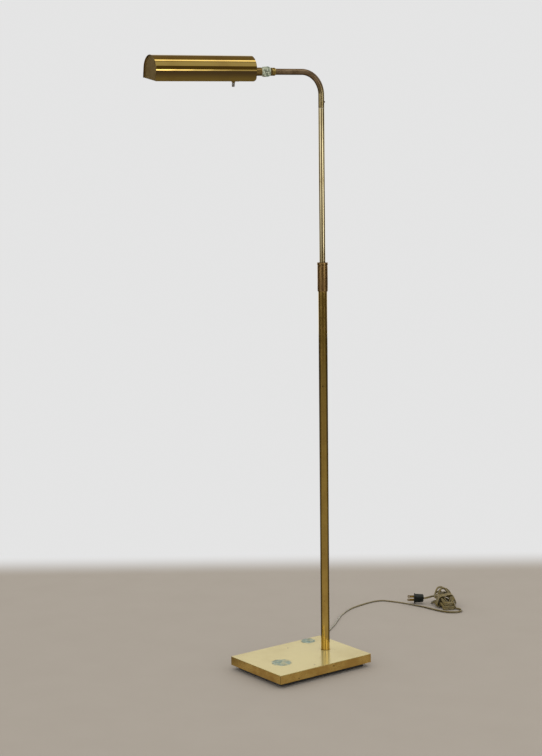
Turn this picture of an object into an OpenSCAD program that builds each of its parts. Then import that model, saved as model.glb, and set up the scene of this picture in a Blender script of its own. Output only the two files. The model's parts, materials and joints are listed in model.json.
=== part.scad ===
// Adjustable brass reading floor lamp: weighted rectangular base, telescoping pole,
// swinging arm, tilting knuckle and a trough shade that rolls about the arm.
// Millimetres. The origin is on the floor under the pole, +Z is up and the arm reaches along -X.

/* [Base] */
// Length of the base
base_len = 248; // [200:1:320]
// Width of the base
base_wid = 178; // [140:1:220]
// Distance from the pole to the base's rear edge
pole_back = 56; // [45:1:80]
// How far the base is turned under the arm, in degrees
base_turn = 7; // [-20:1:20]
// Height of the folded brass shell
shell_h = 19; // [17:0.5:30]
// Sheet thickness of the brass shell
shell_t = 1.2; // [0.8:0.1:2]
// Radius of the shell's upright corners
shell_r = 2; // [1.5:0.5:5]
// Height of the weight that shows under the shell
plinth_h = 6.5; // [4:0.5:12]
// How far the plinth stands back from the shell
plinth_in = 11.7; // [6:0.1:16]
// Thickness of the felt pad
pad_t = 3; // [2:0.5:5]
// Thickness of the weight over the nut's recess
recess_roof = 10; // [8:0.5:13]
// Diameter of the nut's recess
recess_d = 34; // [32:1:44]

/* [Pole] */
// Outer diameter of the pole
pole_d = 19.05; // [18:0.05:24]
// Wall of the pole
pole_wall = 1; // [0.8:0.1:1.3]
// Length of pole that shows between the base and the collar
pole_show = 789.5; // [650:0.5:900]
// How far the thin ring under the pole stands out
foot_ring_out = 1.2; // [0.4:0.1:5]
// Thickness of the thin ring under the pole
foot_ring_t = 1.2; // [0.8:0.1:3]
// Height of the plug in the pole's foot
plug_h = 20; // [12:1:40]
// Outer diameter of the hollow stud through the base
stud_d = 10; // [9:0.1:11]
// Bore of the hollow stud
stud_bore = 6; // [4:0.5:6.5]
// Diameter of the washer under the base
washer_d = 26; // [22:0.5:28]
// Thickness of the washer under the base
washer_t = 2; // [1:0.1:2.5]
// Size of the stud's nut across its corners
nut_d = 17; // [15:0.5:20]
// Height of the stud's nut
nut_h = 4; // [3:0.1:5]
// Length of stud below the nut
stud_tail = 1; // [0.5:0.1:2]

/* [Collar] */
// Wall of the collar
collar_wall = 1.5; // [1:0.1:4]
// Height of the collar with its lip
collar_len = 62; // [50:1:90]
// Length of pole inside the collar
collar_grip = 30; // [15:1:32]
// How far the collar's lip stands out
lip_out = 0.4; // [0.2:0.1:3]
// Height of the collar's lip
lip_h = 6; // [3:0.5:10]
// Length of the lip ring's spigot
lip_grip = 4; // [2:0.5:8]
// Width of the groove under the lip
groove_w = 1.6; // [1:0.1:3]
// Depth of the groove under the lip
groove_deep = 0.5; // [0.3:0.1:0.8]

/* [Riser] */
// Outer diameter of the riser and the arm
riser_d = 12.7; // [12:0.1:13.5]
// Wall of the riser and the arm
riser_wall = 1; // [0.8:0.1:1.4]
// Length of riser that shows over the collar at rest
riser_show = 324.6; // [100:0.1:360]
// How far the riser can be raised from rest
raise_travel = 75; // [20:1:120]
// Height of the guide on the riser's lower end
guide_h = 25; // [15:1:40]
// Gap between the guide and the bush at full height
stop_gap = 2; // [1:0.5:5]
// Length of the swing spigot inside the riser
spigot_down = 25; // [15:1:40]
// Length of the swing spigot inside the arm
spigot_up = 21; // [18:0.5:26]
// Height of the spigot's bright shoulder
shoulder_h = 2.5; // [1.5:0.1:5]
// Bore of the spigot and the shade's nipple
wire_bore = 6; // [4:0.5:6]
// Thickness of the washer under the arm
swing_washer_t = 0.5; // [0.3:0.1:1]

/* [Screws] */
// Diameter of the swing and roll screws
screw_d = 3.4; // [3:0.1:4]
// Diameter of the screws' tips
screw_tip_d = 2.8; // [2.2:0.1:2.9]
// Depth of the grooves that the tips run in
race_deep = 1.2; // [0.8:0.1:1.3]
// Depth of the roll screw under the neck's face
roll_screw_sunk = 0.5; // [0.2:0.1:1.5]

/* [Arm] */
// Rise from the swing joint to the arm's axis
arm_rise = 75; // [72:0.5:110]
// Bend radius of the arm at its axis
bend_r = 47; // [35:0.5:48]
// Distance from the pole's axis to the tilt pivot
pivot_r = 133.7; // [110:0.1:220]
// Height of the swing screw over the joint
swing_screw_up = 13; // [10:0.5:16]
// Diameter of the swing screw's head
swing_head_d = 4.6; // [4.2:0.1:6]
// How far the swing screw's head stands out
swing_head_h = 2; // [1:0.1:3]
// Wall of the ferrule
ferrule_wall = 2; // [1:0.1:3]
// Length of the ferrule
ferrule_len = 9; // [6:0.5:14]
// Length of the knuckle's spigot inside the arm
knuckle_grip = 16; // [12:1:30]

/* [Knuckle] */
// Diameter of the knuckle's discs
disc_d = 21; // [19:0.5:26]
// Thickness of one disc
disc_t = 6.75; // [5:0.25:8]
// Thickness of the fibre washer between the discs
tilt_washer_t = 0.5; // [0.3:0.1:1]
// Height of the bridge between a disc and its neck
bridge_h = 13; // [10:0.5:16]
// Gap between a disc and the shoulder that it turns in front of
knuckle_room = 0.6; // [0.4:0.1:2]
// Thickness of the shoulder at the arm's end
shoulder_t = 1; // [0.6:0.1:3]
// Diameter of the pivot screw
pivot_d = 5; // [4:0.5:6]
// Diameter of the pivot screw's head
pivot_head_d = 9.5; // [8:0.5:12]
// Height of the pivot screw's head
pivot_head_h = 2.4; // [1.5:0.1:3.5]
// Bevel of the pivot screw's head
pivot_edge = 1; // [0.4:0.1:1.3]
// Width of the pivot screw's slot
slot_w = 1.2; // [0.8:0.1:1.6]
// Depth of the pivot screw's slot
slot_deep = 1.2; // [0.6:0.1:1.3]
// Size of the pivot nut across its corners
pivot_nut_d = 10; // [8.5:0.5:12]
// Height of the pivot nut
pivot_nut_h = 3.5; // [2.5:0.1:5]
// Diameter of the head's neck
neck_d = 17; // [16.5:0.5:20]
// Length of the head's neck
neck_len = 24; // [20:0.5:34]
// How far the flange at the neck's end stands out
neck_flange_out = 1.5; // [0.5:0.1:4]
// Thickness of the flange at the neck's end
neck_flange_t = 3.5; // [2:0.5:6]
// Solid length of the neck behind the nipple
neck_solid = 4; // [3:0.5:6]

/* [Shade] */
// Length of the shade
shade_len = 229; // [190:1:300]
// Radius of the shade's round top
shade_r = 28.5; // [26:0.1:36]
// Depth of the shade's straight sides
side_h = 20.4; // [12:0.1:30]
// Height of the round top's centre over the roll axis
dome_up = 4; // [2:0.5:8]
// Sheet thickness of the shade
shade_t = 0.9; // [0.6:0.1:1.4]
// Roll of the shade at rest, in degrees
shade_roll = 9; // [-20:1:20]
// How far the end caps stand inside the shell
cap_inset = 1.5; // [0.5:0.1:4]
// Thickness of the end caps
cap_t = 1; // [0.8:0.1:2]
// Radius of the rounded corners at the shell's rear
rear_round = 8; // [5:0.5:12]
// Thickness of the spacer behind the shade
spacer_t = 3; // [2:0.1:5]
// Diameter of the spacer behind the shade
spacer_d = 16; // [14:0.5:22]
// Outer diameter of the shade's hollow nipple
nipple_d = 10; // [9:0.1:11]
// Size of the locknut across its corners
locknut_d = 17; // [15:0.5:22]
// Thickness of the locknut
locknut_t = 4; // [3:0.1:6]

/* [Socket and bulb] */
// Bore of the socket's body
socket_bore = 27.2; // [27:0.1:27.8]
// Wall of the socket's body
socket_wall = 1; // [0.8:0.1:2]
// Length of socket past the bulb's metal cap
socket_over = 7; // [4:0.5:8]
// Floor of the socket's body
socket_floor = 6; // [4:0.5:8]
// Length of the socket's brass cap
socket_cap_len = 13; // [10:0.5:16]
// Floor of the socket's brass cap
socket_cap_floor = 1.5; // [1:0.1:3]
// Wall of the socket's brass cap
socket_cap_wall = 0.8; // [0.6:0.1:1.2]
// Length of nipple inside the socket
nipple_in = 6; // [4:0.5:9]
// Wall of the socket's screw shell
thread_wall = 0.4; // [0.3:0.05:0.5]
// Height of the socket's centre contact
contact_h = 3; // [2:0.1:4]
// Diameter of the socket's centre contact
contact_d = 4; // [3:0.5:6]
// Diameter of the contact's foot
contact_foot_d = 9; // [7:0.5:14]
// Thickness of the contact's foot
contact_foot_t = 0.8; // [0.5:0.1:1.5]
// Length of the bulb's metal cap
bulb_cap_len = 22; // [18:0.5:28]
// Diameter of the tip of the bulb's metal cap
cap_tip_d = 10; // [8:0.5:12]
// Height of the tip of the bulb's metal cap
cap_tip_h = 1; // [0.5:0.1:2]
// Height of the cone behind the tip
cap_cone_h = 2.5; // [1.5:0.1:3]
// Pitch of the bulb's thread
cap_pitch = 3.6; // [3:0.1:3.8]
// Depth of the bulb's thread
cap_thread = 0.5; // [0.3:0.1:0.8]
// Length of the bulb's glass neck
bulb_neck_len = 5; // [3:0.5:10]
// How far the glass neck stands in from the metal cap
bulb_neck_in = 1; // [0.5:0.1:2]
// Length of the bulb's flare
bulb_flare = 9; // [8:0.5:20]
// Diameter of the bulb's tube
bulb_d = 29; // [26:0.5:34]
// Length of the bulb's glass
bulb_len = 112; // [80:1:130]
// Wall of the bulb's glass
bulb_wall = 0.8; // [0.6:0.1:1.5]

/* [Switch] */
// Distance of the switch from the socket's rear
switch_in = 24.5; // [18:0.5:28]
// Depth of the switch's housing under the roll axis
switch_drop = 19.5; // [18:0.5:23]
// Length of the switch's housing
switch_len = 18; // [14:0.5:22]
// Width of the switch's housing
switch_wid = 14; // [10:0.5:20]
// Diameter of the switch's bush
switch_bush_d = 7.5; // [5.5:0.5:10]
// Length of the switch's bush
switch_bush_h = 2.5; // [1.5:0.1:4]
// Length of the switch's stem inside the housing
stem_in = 4; // [2:0.5:4]
// Diameter of the switch's stem
stem_d = 3; // [2:0.1:4]
// Diameter of the switch's knob
knob_d = 6; // [5.5:0.1:10]
// Length of the switch's knob
knob_h = 8.6; // [6:0.1:14]
// Bevel of the switch's knob
knob_edge = 0.9; // [0.3:0.1:1.5]

/* [Cord] */
// Width of the flat twin cord
cord_w = 4.8; // [4:0.1:5]
// Thickness of the flat twin cord
cord_t = 2.5; // [2:0.1:2.6]
// Distance of the gland from the pole along the base
gland_along = 40; // [20:1:44]
// Height of the gland over the shell's lower edge
gland_over = 6; // [5.5:0.5:7]
// Length of the gland outside the base
gland_out = 22; // [20:1:24]
// Diameter of the gland at the base
gland_d = 9; // [8.6:0.1:10]
// Diameter of the gland at its tip
gland_tip_d = 6.4; // [6:0.1:7]
// Diameter of the gland's neck in the shell
gland_neck_d = 7.5; // [6:0.1:8]
// Diameter of the gland's flange in the shell
gland_flange_d = 11; // [9:0.5:11.5]
// Thickness of the gland's flange in the shell
gland_flange_t = 2; // [1:0.1:3]

/* [Plug] */
// Length of the plug's body
plug_len = 22; // [18:0.5:30]
// Width of the plug's body
plug_wid = 25; // [20:0.5:29]
// Thickness of the plug's body
plug_thick = 10; // [8:0.5:14]
// Radius of the plug's long edges
plug_round = 2.6; // [1:0.1:3.8]
// How far the plug's flange stands out round its body
plug_rim = 1.6; // [0.5:0.1:2.5]
// Thickness of the plug's flange
plug_rim_t = 2; // [1:0.5:4]
// Distance between the two blades
blade_gap = 12.7; // [12:0.1:13]
// Width of a blade
blade_w = 6.3; // [5:0.1:7]
// Thickness of a blade
blade_t = 1.5; // [1:0.1:2]
// Length of blade outside the plug
blade_len = 16; // [12:0.5:18]
// Length of blade inside the plug
blade_in = 8; // [4:0.5:12]

/* [Fits] */
// Radial clearance of pieces that are pressed, screwed or glued together
fit = 0.05; // [0.02:0.01:0.1]
// Radial clearance of pieces that turn or slide in each other
run = 0.05; // [0.02:0.01:0.09]
// Radial clearance of pieces that pass each other
clear = 0.35; // [0.3:0.05:0.6]

/* [Hidden] */
$fn = 96;

// Colours
brass = "#b8923f";
pale_brass = "#d8c58a";
aged_brass = "#8a6a30";
bronze = "#5a4326";
patina = "#6f8c78";
black = "#1c1c1a";
felt = "#2a2622";
nylon = "#d9d4c4";
fibre = "#7a4a34";
glass = "#f2efe4";
steel = "#9a9a96";
cord_gold = "#8a7440";

// How far a cut runs past the face that it opens
past = 1;
// How deep the shapes of one piece run into each other
joined = 0.5;

// Heights of the stand
shell_z = pad_t + plinth_h;
base_top = shell_z + shell_h;
shell_roof = base_top - shell_t;
recess_top = shell_roof - recess_roof;
stud_foot = recess_top - washer_t - nut_h - stud_tail;
foot_top = base_top + foot_ring_t;
collar_z = base_top + pole_show;
pole_top = collar_z + collar_grip;
collar_top = collar_z + collar_len;
lip_z = collar_top - lip_h;
bush_top = lip_z - lip_grip;

// Bores of the tubes
pole_bore = pole_d - 2 * pole_wall;
riser_bore = riser_d - 2 * riser_wall;
spigot_d = riser_bore - 2 * run;
collar_bore = pole_d + 2 * fit;
collar_d = collar_bore + 2 * collar_wall;
lip_d = collar_d + 2 * lip_out;
foot_ring_d = pole_d + 2 * foot_ring_out;
stud_hole = stud_d + 2 * clear;

// Heights of the riser and the arm
joint_z = collar_top + riser_show;
riser_top = joint_z - shoulder_h;
spigot_foot = riser_top - spigot_down;
guide_top = pole_top - raise_travel - stop_gap;
riser_foot = guide_top - guide_h;
arm_foot = joint_z + swing_washer_t;
arm_z = joint_z + arm_rise;
swing_screw_z = joint_z + swing_screw_up;
race_w = screw_tip_d + 2 * clear;

// Stations along the arm, measured from the pole's axis
neck_gap = disc_d / 2 + knuckle_room;
arm_end = pivot_r - neck_gap - shoulder_t;
neck_r = pivot_r + neck_gap;
neck_end = neck_r + neck_len;
nipple_r = neck_r + neck_solid;
roll_screw_r = (nipple_r + neck_end - neck_flange_t) / 2;
cap_face = neck_end + 2 * run + spacer_t;
shell_start = cap_face - cap_inset;
shell_end = shell_start + shade_len;
front_face = shell_end - cap_inset;
locknut_r = cap_face + cap_t;
socket_cap_r = locknut_r + locknut_t;
nipple_end = socket_cap_r + nipple_in;
socket_r = nipple_end + 2 * clear;
socket_floor_r = socket_r + socket_floor;
bulb_r = socket_floor_r + contact_h;
glass_r = bulb_r + bulb_cap_len;
socket_end = glass_r + socket_over;
disc_in = tilt_washer_t / 2;
disc_out = disc_in + disc_t;
screw_head = disc_out + run;
neck_flange_d = neck_d + 2 * neck_flange_out;
ferrule_d = riser_d + 2 * fit + 2 * ferrule_wall;

// Shade and socket
side_low = dome_up - side_h;
rear_trim = rear_round - sqrt(rear_round * rear_round - pow(rear_round - cap_inset, 2)) + cap_t;
socket_d = socket_bore + 2 * socket_wall;
socket_cap_bore = socket_d + 2 * fit;
socket_cap_d = socket_cap_bore + 2 * socket_cap_wall;
thread_d = socket_bore - 2 * fit;
bulb_cap_d = thread_d - 2 * thread_wall - 2 * clear;
bulb_core_d = bulb_cap_d - 2 * cap_thread;
bulb_neck_d = bulb_cap_d - 2 * bulb_neck_in;
cap_threads = 4;
switch_r = socket_r + switch_in;
stem_seat = switch_drop - stem_in;
knob_top = switch_drop + switch_bush_h + clear;

// Plug: where its middle lies, the way its blades point and how far it leans over
plug_heading = 148;
plug_lean = 55;
plug_edge = plug_round + plug_rim;
plug_flat_w = plug_wid / 2 - plug_round;
plug_flat_t = plug_thick / 2 - plug_round;
plug_rest = plug_flat_w * sin(plug_lean) + plug_flat_t * cos(plug_lean) + plug_edge;
floor_gap = 0.2;
plug_at = [439.5, 273.5, plug_rest + floor_gap];
plug_way = [cos(plug_heading), sin(plug_heading), 0];
plug_rear = plug_at - plug_way * plug_len / 2;

// Cord: where it leaves the base
cord_gap = 0.05;
gland_up = shell_z + gland_over;
gland_tip = turned([gland_along, base_wid / 2 + gland_out, gland_up]);
gland_way = turned([0, 1, 0]);

// Hank: its middle on the floor, its heading, and its loops
hank_at = [482, 219];
hank_heading = 70;
hank_half = 40.5;
hank_fold_r = 23.5;
hank_draw = 1.5;
hank_beside = 0.8;
hank_step = cord_t + hank_beside;
hank_layers = 4;
hank_turns = 3;
hank_lift = 5;
hank_lift_end = 30;
hank_waist = 10;
hank_climb = 0.16;
hank_over = 0.8;
hank_pitch = cord_w + hank_over;
hank_fan = 5.5;
hank_rings = 24;
hank_start = -2 / hank_rings;
hank_end = hank_layers * hank_turns + 0.25;
hank_run = hank_half - hank_fold_r;
hank_round = 4 * hank_run + 2 * PI * hank_fold_r;
hank_low = cord_w / 2 + floor_gap;

// Tie: turns of cord round the hank's waist
tie_room_w = 1.4;
tie_room_h = 1.1;
tie_beside = 0.7;
tie_turns = 3;
tie_square = 7;
tie_pitch = cord_w + tie_beside;
waist_half_w = hank_fold_r - hank_draw + cord_t / 2;
waist_half_h = ((hank_layers - 1) * hank_pitch + cord_w) / 2;
tie_half_w = waist_half_w + tie_room_w + cord_t / 2;
tie_half_h = waist_half_h + tie_room_h + cord_t / 2;
tie_mid_z = hank_low + hank_lift - cord_w / 2 + waist_half_h;

// The lead's way over the floor, from the gland to the hank
lead_points = [
  [26, 130, 12.5], [31, 140, 8], [40, 148, 4], [52, 153, 2], [66, 157, 1.5], [80, 161, 1.5],
  [94, 166, 1.5], [107, 173, 1.5], [119, 184, 1.5], [131, 195, 1.5], [143, 206, 1.5],
  [154, 216, 1.5], [165, 227, 1.5], [176, 238, 1.5], [187, 250, 1.5], [198, 261, 1.5],
  [209, 273, 1.5], [220, 284, 1.5], [232, 294, 1.5], [245, 304, 1.5], [258, 313, 1.5],
  [271, 321, 1.5], [285, 327, 1.5], [299, 332, 1.5], [313, 336, 1.5], [327, 340, 1.5],
  [341, 343, 1.5], [355, 345, 1.5], [368, 344, 1.5], [379, 339, 1.5], [387, 330, 1.5],
  [394, 319, 1.5], [401, 308, 1.5], [408, 295, 1.5], [413, 283, 1.5], [418, 270, 1.5],
  [423, 256, 1.5], [428, 242, 1.5], [432, 228, 1.5], [435, 214, 1.5], [438, 200, 1.5],
  [442, 186, 1.5], [448, 173, 1.5], [457, 163, 1.5], [466, 157, 1.5], [475, 155, 1.5],
  [483, 157, 1.5], [489, 164, 1.8], [493, 174, 2.4]
];
// The tail's way from the hank to the plug
tail_points = [[481, 263, 30], [477.5, 263.5, 23.5], [471.5, 263.5, 18.5], [463, 263, 15.3]];
// The cord lies flat on the floor, stands on edge in the hank and leans with the plug at its end
lead_twist_rings = 16;
// Sides of the cord's tube where it lies free and where it is wound
free_sides = 8;
wound_sides = 6;

// Turning with the base
function turned(p) = [
  p[0] * cos(base_turn) - p[1] * sin(base_turn),
  p[0] * sin(base_turn) + p[1] * cos(base_turn),
  p[2]
];

// Sweeping a flat oval along points
function unit(v) = v / norm(v);
function smooth(x) = let (c = max(0, min(1, x))) c * c * (3 - 2 * c);
function total(v) = v * [for (x = v) 1];
function heading_at(p, i) = unit(p[min(i + 1, len(p) - 1)] - p[max(i - 1, 0)]);
function oval(c, way, w, t, roll, sides) =
  let (side = unit(cross(way, [0, 0, 1])), up = cross(side, way))
  [for (k = [0:sides - 1])
    let (x = w / 2 * cos(360 * k / sides), y = t / 2 * sin(360 * k / sides))
    c + side * (x * cos(roll) - y * sin(roll)) + up * (x * sin(roll) + y * cos(roll))];
function sweep_faces(rings, sides) = concat(
  [for (k = [1:sides - 2]) [0, k + 1, k]],
  [for (i = [0:rings - 2], k = [0:sides - 1], h = [0, 1])
    let (a = i * sides + k, b = i * sides + (k + 1) % sides)
    h == 0 ? [a, b, a + sides] : [b, b + sides, a + sides]],
  [for (k = [1:sides - 2]) let (e = (rings - 1) * sides) [e, e + k, e + k + 1]]
);
module cord_along(way, rolls, sides) {
  rings = [for (i = [0:len(way) - 1])
    each oval(way[i], heading_at(way, i), cord_w, cord_t, rolls[i], sides)];
  polyhedron(points = rings, faces = sweep_faces(len(way), sides));
}

// One turn of the hank: a run, a fold, a run back and a fold, drawn in at the waist
function waist(u, end) = 1 - smooth((abs(u) - hank_waist) / (end - hank_waist));
function drawn(u) = hank_draw * waist(u, hank_run);
function hank_plan(q, inset) =
  let (
    r = hank_fold_r - inset,
    l = (q - floor(q)) * hank_round,
    fold = PI * hank_fold_r,
    l1 = l - hank_run,
    l2 = l1 - fold,
    l3 = l2 - 2 * hank_run,
    l4 = l3 - fold
  )
  l1 < 0 ? [l, drawn(l) - r] :
  l2 < 0 ? [hank_run + r * sin(180 * l1 / fold), -r * cos(180 * l1 / fold)] :
  l3 < 0 ? [hank_run - l2, r - drawn(hank_run - l2)] :
  l4 < 0 ? [-hank_run - r * sin(180 * l3 / fold), r * cos(180 * l3 / fold)] :
  [l4 - hank_run, drawn(l4 - hank_run) - r];
// The loops spiral in on one layer and out again on the next
function hank_inset(q) =
  let (layer = max(0, min(hank_layers - 1, floor(q / hank_turns))), done = q - layer * hank_turns)
  hank_step * (layer % 2 == 0 ? done : hank_turns - done);
function hank_layer(q) =
  total([for (m = [1:hank_layers - 1]) smooth((q - m * hank_turns) / hank_climb + 0.5)]);
function hank_point(q) =
  let (
    p = hank_plan(q, hank_inset(q)),
    lift = hank_lift * waist(p[0], hank_lift_end),
    back = max(0, p[0] - hank_waist) / (hank_half - hank_waist),
    rise = hank_layer(q) * (hank_pitch + hank_fan * back * back)
  )
  hank_place([p[0], p[1], hank_low + lift + rise]);
function hank_place(p) = [
  hank_at[0] + p[0] * cos(hank_heading) - p[1] * sin(hank_heading),
  hank_at[1] + p[0] * sin(hank_heading) + p[1] * cos(hank_heading),
  p[2]
];
hank_last = round((hank_end - hank_start) * hank_rings);
hank_loops = [for (k = [0:hank_last]) hank_point(hank_start + k / hank_rings)];
hank_way_in = unit(hank_loops[1] - hank_loops[0]);
hank_way_out = unit(hank_loops[hank_last] - hank_loops[hank_last - 1]);
hank_in = hank_loops[0] - hank_way_in * cord_w;
hank_out = hank_loops[hank_last] + hank_way_out * cord_w;
hank_points = concat([hank_in], hank_loops, [hank_out]);
hank_rolls = [for (p = hank_points) 90];

// The tie's turns round the waist, square to the hank
function squared(c) = sign(c) * pow(abs(c), 2 / tie_square);
function tie_point(q) = hank_place([
  (q - tie_turns / 2) * tie_pitch,
  tie_half_w * squared(sin(360 * q)),
  tie_mid_z + tie_half_h * squared(cos(360 * q))
]);
tie_points = [for (k = [0:tie_turns * hank_rings]) tie_point(k / hank_rings)];
tie_rolls = [for (p = tie_points) 0];

// The cord's free stretches
lead_route = concat(
  [gland_tip + gland_way * cord_gap, gland_tip + gland_way * cord_w],
  lead_points,
  [hank_in - hank_way_in * cord_w, hank_in - hank_way_in * cord_gap]
);
lead_flat = len(lead_route) - 2 - lead_twist_rings;
lead_rolls = [for (i = [0:len(lead_route) - 1]) 90 * smooth((i - lead_flat) / lead_twist_rings)];
// The cord stays clear of the floor as it turns on edge
function half_height(roll) = norm([cord_w * sin(roll), cord_t * cos(roll)]) / 2;
function lying(p, roll) = [p[0], p[1], max(p[2], floor_gap + half_height(roll))];
lead_way = [for (i = [0:len(lead_route) - 1]) lying(lead_route[i], lead_rolls[i])];
tail_way = concat(
  [hank_out + hank_way_out * cord_gap, hank_out + hank_way_out * cord_w],
  tail_points,
  [plug_rear - plug_way * cord_w, plug_rear - plug_way * cord_gap]
);
tail_last = len(tail_way) - 1;
tail_rolls = [for (i = [0:tail_last]) 90 + (plug_lean - 90) * smooth(i / (tail_last - 1))];

// The least gap between turns that lie beside or over each other
gap_skip = 13;
function apart(p, i) = [for (j = [i + gap_skip:len(p) - 1]) p[j] - p[i]];
hank_least_gap = min([for (i = [0:hank_last - gap_skip], d = apart(hank_loops, i))
  max(norm([d[0], d[1]]) - cord_t, abs(d[2]) - cord_w)]);
tie_least_gap = min([for (i = [0:len(tie_points) - 1 - gap_skip], d = apart(tie_points, i))
  norm(d) - cord_w]);
function way_length(p) = total([for (i = [1:len(p) - 1]) norm(p[i] - p[i - 1])]);
echo(hank_least_gap = hank_least_gap, tie_least_gap = tie_least_gap);
echo(cord_length = way_length(lead_way) + way_length(hank_points) + way_length(tail_way));

// Placing
module on_base() rotate([0, 0, base_turn]) children();
module on_arm() translate([0, 0, arm_z]) rotate([0, -90, 0]) children();
module in_shade() on_arm() rotate([0, 0, -shade_roll]) children();
module at_pivot() translate([-pivot_r, 0, arm_z]) rotate([90, 0, 0]) children();
module on_plug() translate(plug_at) rotate([0, 0, plug_heading]) rotate([plug_lean, 0, 0]) children();
module under_switch(depth) in_shade() translate([-depth, 0, switch_r]) rotate([0, -90, 0]) children();

// Shared shapes
module bar(z, h, d) translate([0, 0, z]) cylinder(h = h, d = d);
module bore(z, h, d) bar(z - past, h + 2 * past, d);
module pipe(z, h, outer, inner) difference() {
  bar(z, h, outer);
  bore(z, h, inner);
}
module hex_nut(z, h, corners, inner) difference() {
  translate([0, 0, z]) cylinder(h = h, d = corners, $fn = 6);
  bore(z, h, inner);
}
module rounded(l, w, r) {
  square([l - 2 * r, w], center = true);
  square([l, w - 2 * r], center = true);
  for (x = [-1, 1], y = [-1, 1]) translate([x * (l / 2 - r), y * (w / 2 - r)]) circle(r = r);
}
// A slab of the base's outline, drawn in all round
module slab(z, h, inset, r) translate([pole_back - base_len / 2, 0, z])
  linear_extrude(h) rounded(base_len - 2 * inset, base_wid - 2 * inset, r);
// A screw whose thin tip runs in a groove, with its axis along +X
module grub(tip, seat, out) rotate([0, 90, 0]) {
  bar(tip, seat - tip + joined, screw_tip_d);
  bar(seat, out - seat, screw_d - 2 * fit);
}
// The shade's outline: a half round on straight sides, drawn in all round but for its open underside
module trough(inset, low) {
  r = shade_r - inset;
  intersection() {
    translate([dome_up, 0]) circle(r = r);
    translate([dome_up, -r]) square([r, 2 * r]);
  }
  translate([low, -r]) square([dome_up - low, 2 * r]);
}

// Stand
module base_pad() color(felt) on_base() slab(0, pad_t, plinth_in, shell_r);

module base_weight() color(black) on_base() difference() {
  union() {
    slab(pad_t, plinth_h, plinth_in, shell_r);
    slab(shell_z, shell_h - shell_t, shell_t + clear, shell_r - shell_t);
  }
  cylinder(h = base_top, d = stud_hole);
  cylinder(h = recess_top, d = recess_d);
  // The cord's way from the recess to the gland, and the gland's pocket
  rotate([0, 0, -atan2(gland_along, base_wid / 2)]) translate([-gland_d / 2, 0, 0])
    cube([gland_d, norm([gland_along, base_wid / 2]), gland_up + gland_d / 2]);
  translate([gland_along - gland_d, base_wid / 2 - 2 * gland_d, 0])
    cube([2 * gland_d, 2 * gland_d, gland_up + gland_d]);
}

module base_shell() color(pale_brass) on_base() difference() {
  slab(shell_z, shell_h, 0, shell_r);
  slab(shell_z - past, shell_h - shell_t + past, shell_t, shell_r - shell_t);
  cylinder(h = base_top + past, d = stud_hole);
  translate([gland_along, base_wid / 2 - shell_t, gland_up]) rotate([-90, 0, 0])
    bore(0, shell_t, gland_neck_d + 2 * fit);
}

module foot_ring() color(brass) pipe(base_top, foot_ring_t, foot_ring_d, stud_hole);

module pole_tube() color(brass) pipe(foot_top, pole_top - foot_top, pole_d, pole_bore);

module pole_plug() color(aged_brass) pipe(foot_top, plug_h, pole_bore - 2 * fit, stud_d + 2 * fit);

module pole_stud() color(steel) pipe(stud_foot, foot_top + plug_h - stud_foot, stud_d, stud_bore);

module pole_washer() color(steel) pipe(recess_top - washer_t, washer_t, washer_d, stud_hole);

module pole_nut() color(steel) hex_nut(stud_foot + stud_tail, nut_h, nut_d, stud_d + 2 * fit);

module collar_sleeve() color(brass) difference() {
  pipe(collar_z, lip_z - collar_z, collar_d, collar_bore);
  pipe(lip_z - groove_w, groove_w + past, collar_d + past, collar_d - 2 * groove_deep);
}

module collar_bush() color(nylon)
  pipe(pole_top, bush_top - pole_top, collar_bore - 2 * fit, riser_d + 2 * run);

module collar_ring() color(brass) difference() {
  union() {
    bar(lip_z, lip_h, lip_d);
    bar(bush_top, lip_grip + joined, collar_bore - 2 * fit);
  }
  bore(bush_top, lip_grip + lip_h, riser_d + 2 * clear);
}

module cord_gland() color(fibre) on_base()
  translate([gland_along, base_wid / 2, gland_up]) rotate([-90, 0, 0]) {
    cylinder(h = gland_out, d1 = gland_d, d2 = gland_tip_d);
    bar(-shell_t - joined, shell_t + 2 * joined, gland_neck_d);
    bar(-shell_t - gland_flange_t, gland_flange_t, gland_flange_d);
  }

module cord_lead() color(cord_gold) cord_along(lead_way, lead_rolls, free_sides);

module cord_hank() color(cord_gold) cord_along(hank_points, hank_rolls, wound_sides);

module cord_tie() color(cord_gold) cord_along(tie_points, tie_rolls, wound_sides);

module cord_tail() color(cord_gold) cord_along(tail_way, tail_rolls, free_sides);

// A length of the plug's outline, drawn out all round
module plug_block(x, l, out) translate([x, 0, 0]) rotate([90, 0, 90])
  linear_extrude(l) rounded(plug_wid + 2 * out, plug_thick + 2 * out, plug_round + out);

// The two blades, or with a clearance the slots that hold them
module blade_pair(gap) for (y = [-1, 1])
  translate([plug_len / 2 - blade_in - gap, y * blade_gap / 2 - blade_t / 2 - gap, -blade_w / 2 - gap])
    cube([blade_in + blade_len + 2 * gap, blade_t + 2 * gap, blade_w + 2 * gap]);

module plug_body() color(black) on_plug() difference() {
  union() {
    plug_block(-plug_len / 2, plug_len, 0);
    plug_block(plug_len / 2 - plug_rim_t, plug_rim_t, plug_rim);
  }
  blade_pair(fit);
}

module plug_blades() color(brass) on_plug() blade_pair(0);

// Riser
module riser_tube() color(pale_brass) pipe(riser_foot, riser_top - riser_foot, riser_d, riser_bore);

module riser_guide() color(nylon) pipe(riser_foot, guide_h, pole_bore - 2 * run, riser_d + 2 * fit);

module swing_spigot() color(pale_brass) difference() {
  union() {
    bar(spigot_foot, spigot_down + joined, riser_bore - 2 * fit);
    bar(riser_top, shoulder_h, riser_d);
    bar(joint_z - joined, spigot_up + joined, spigot_d);
  }
  bore(spigot_foot, spigot_down + shoulder_h + spigot_up, wire_bore);
  pipe(swing_screw_z - race_w / 2, race_w, riser_d, spigot_d - 2 * race_deep);
}

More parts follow.
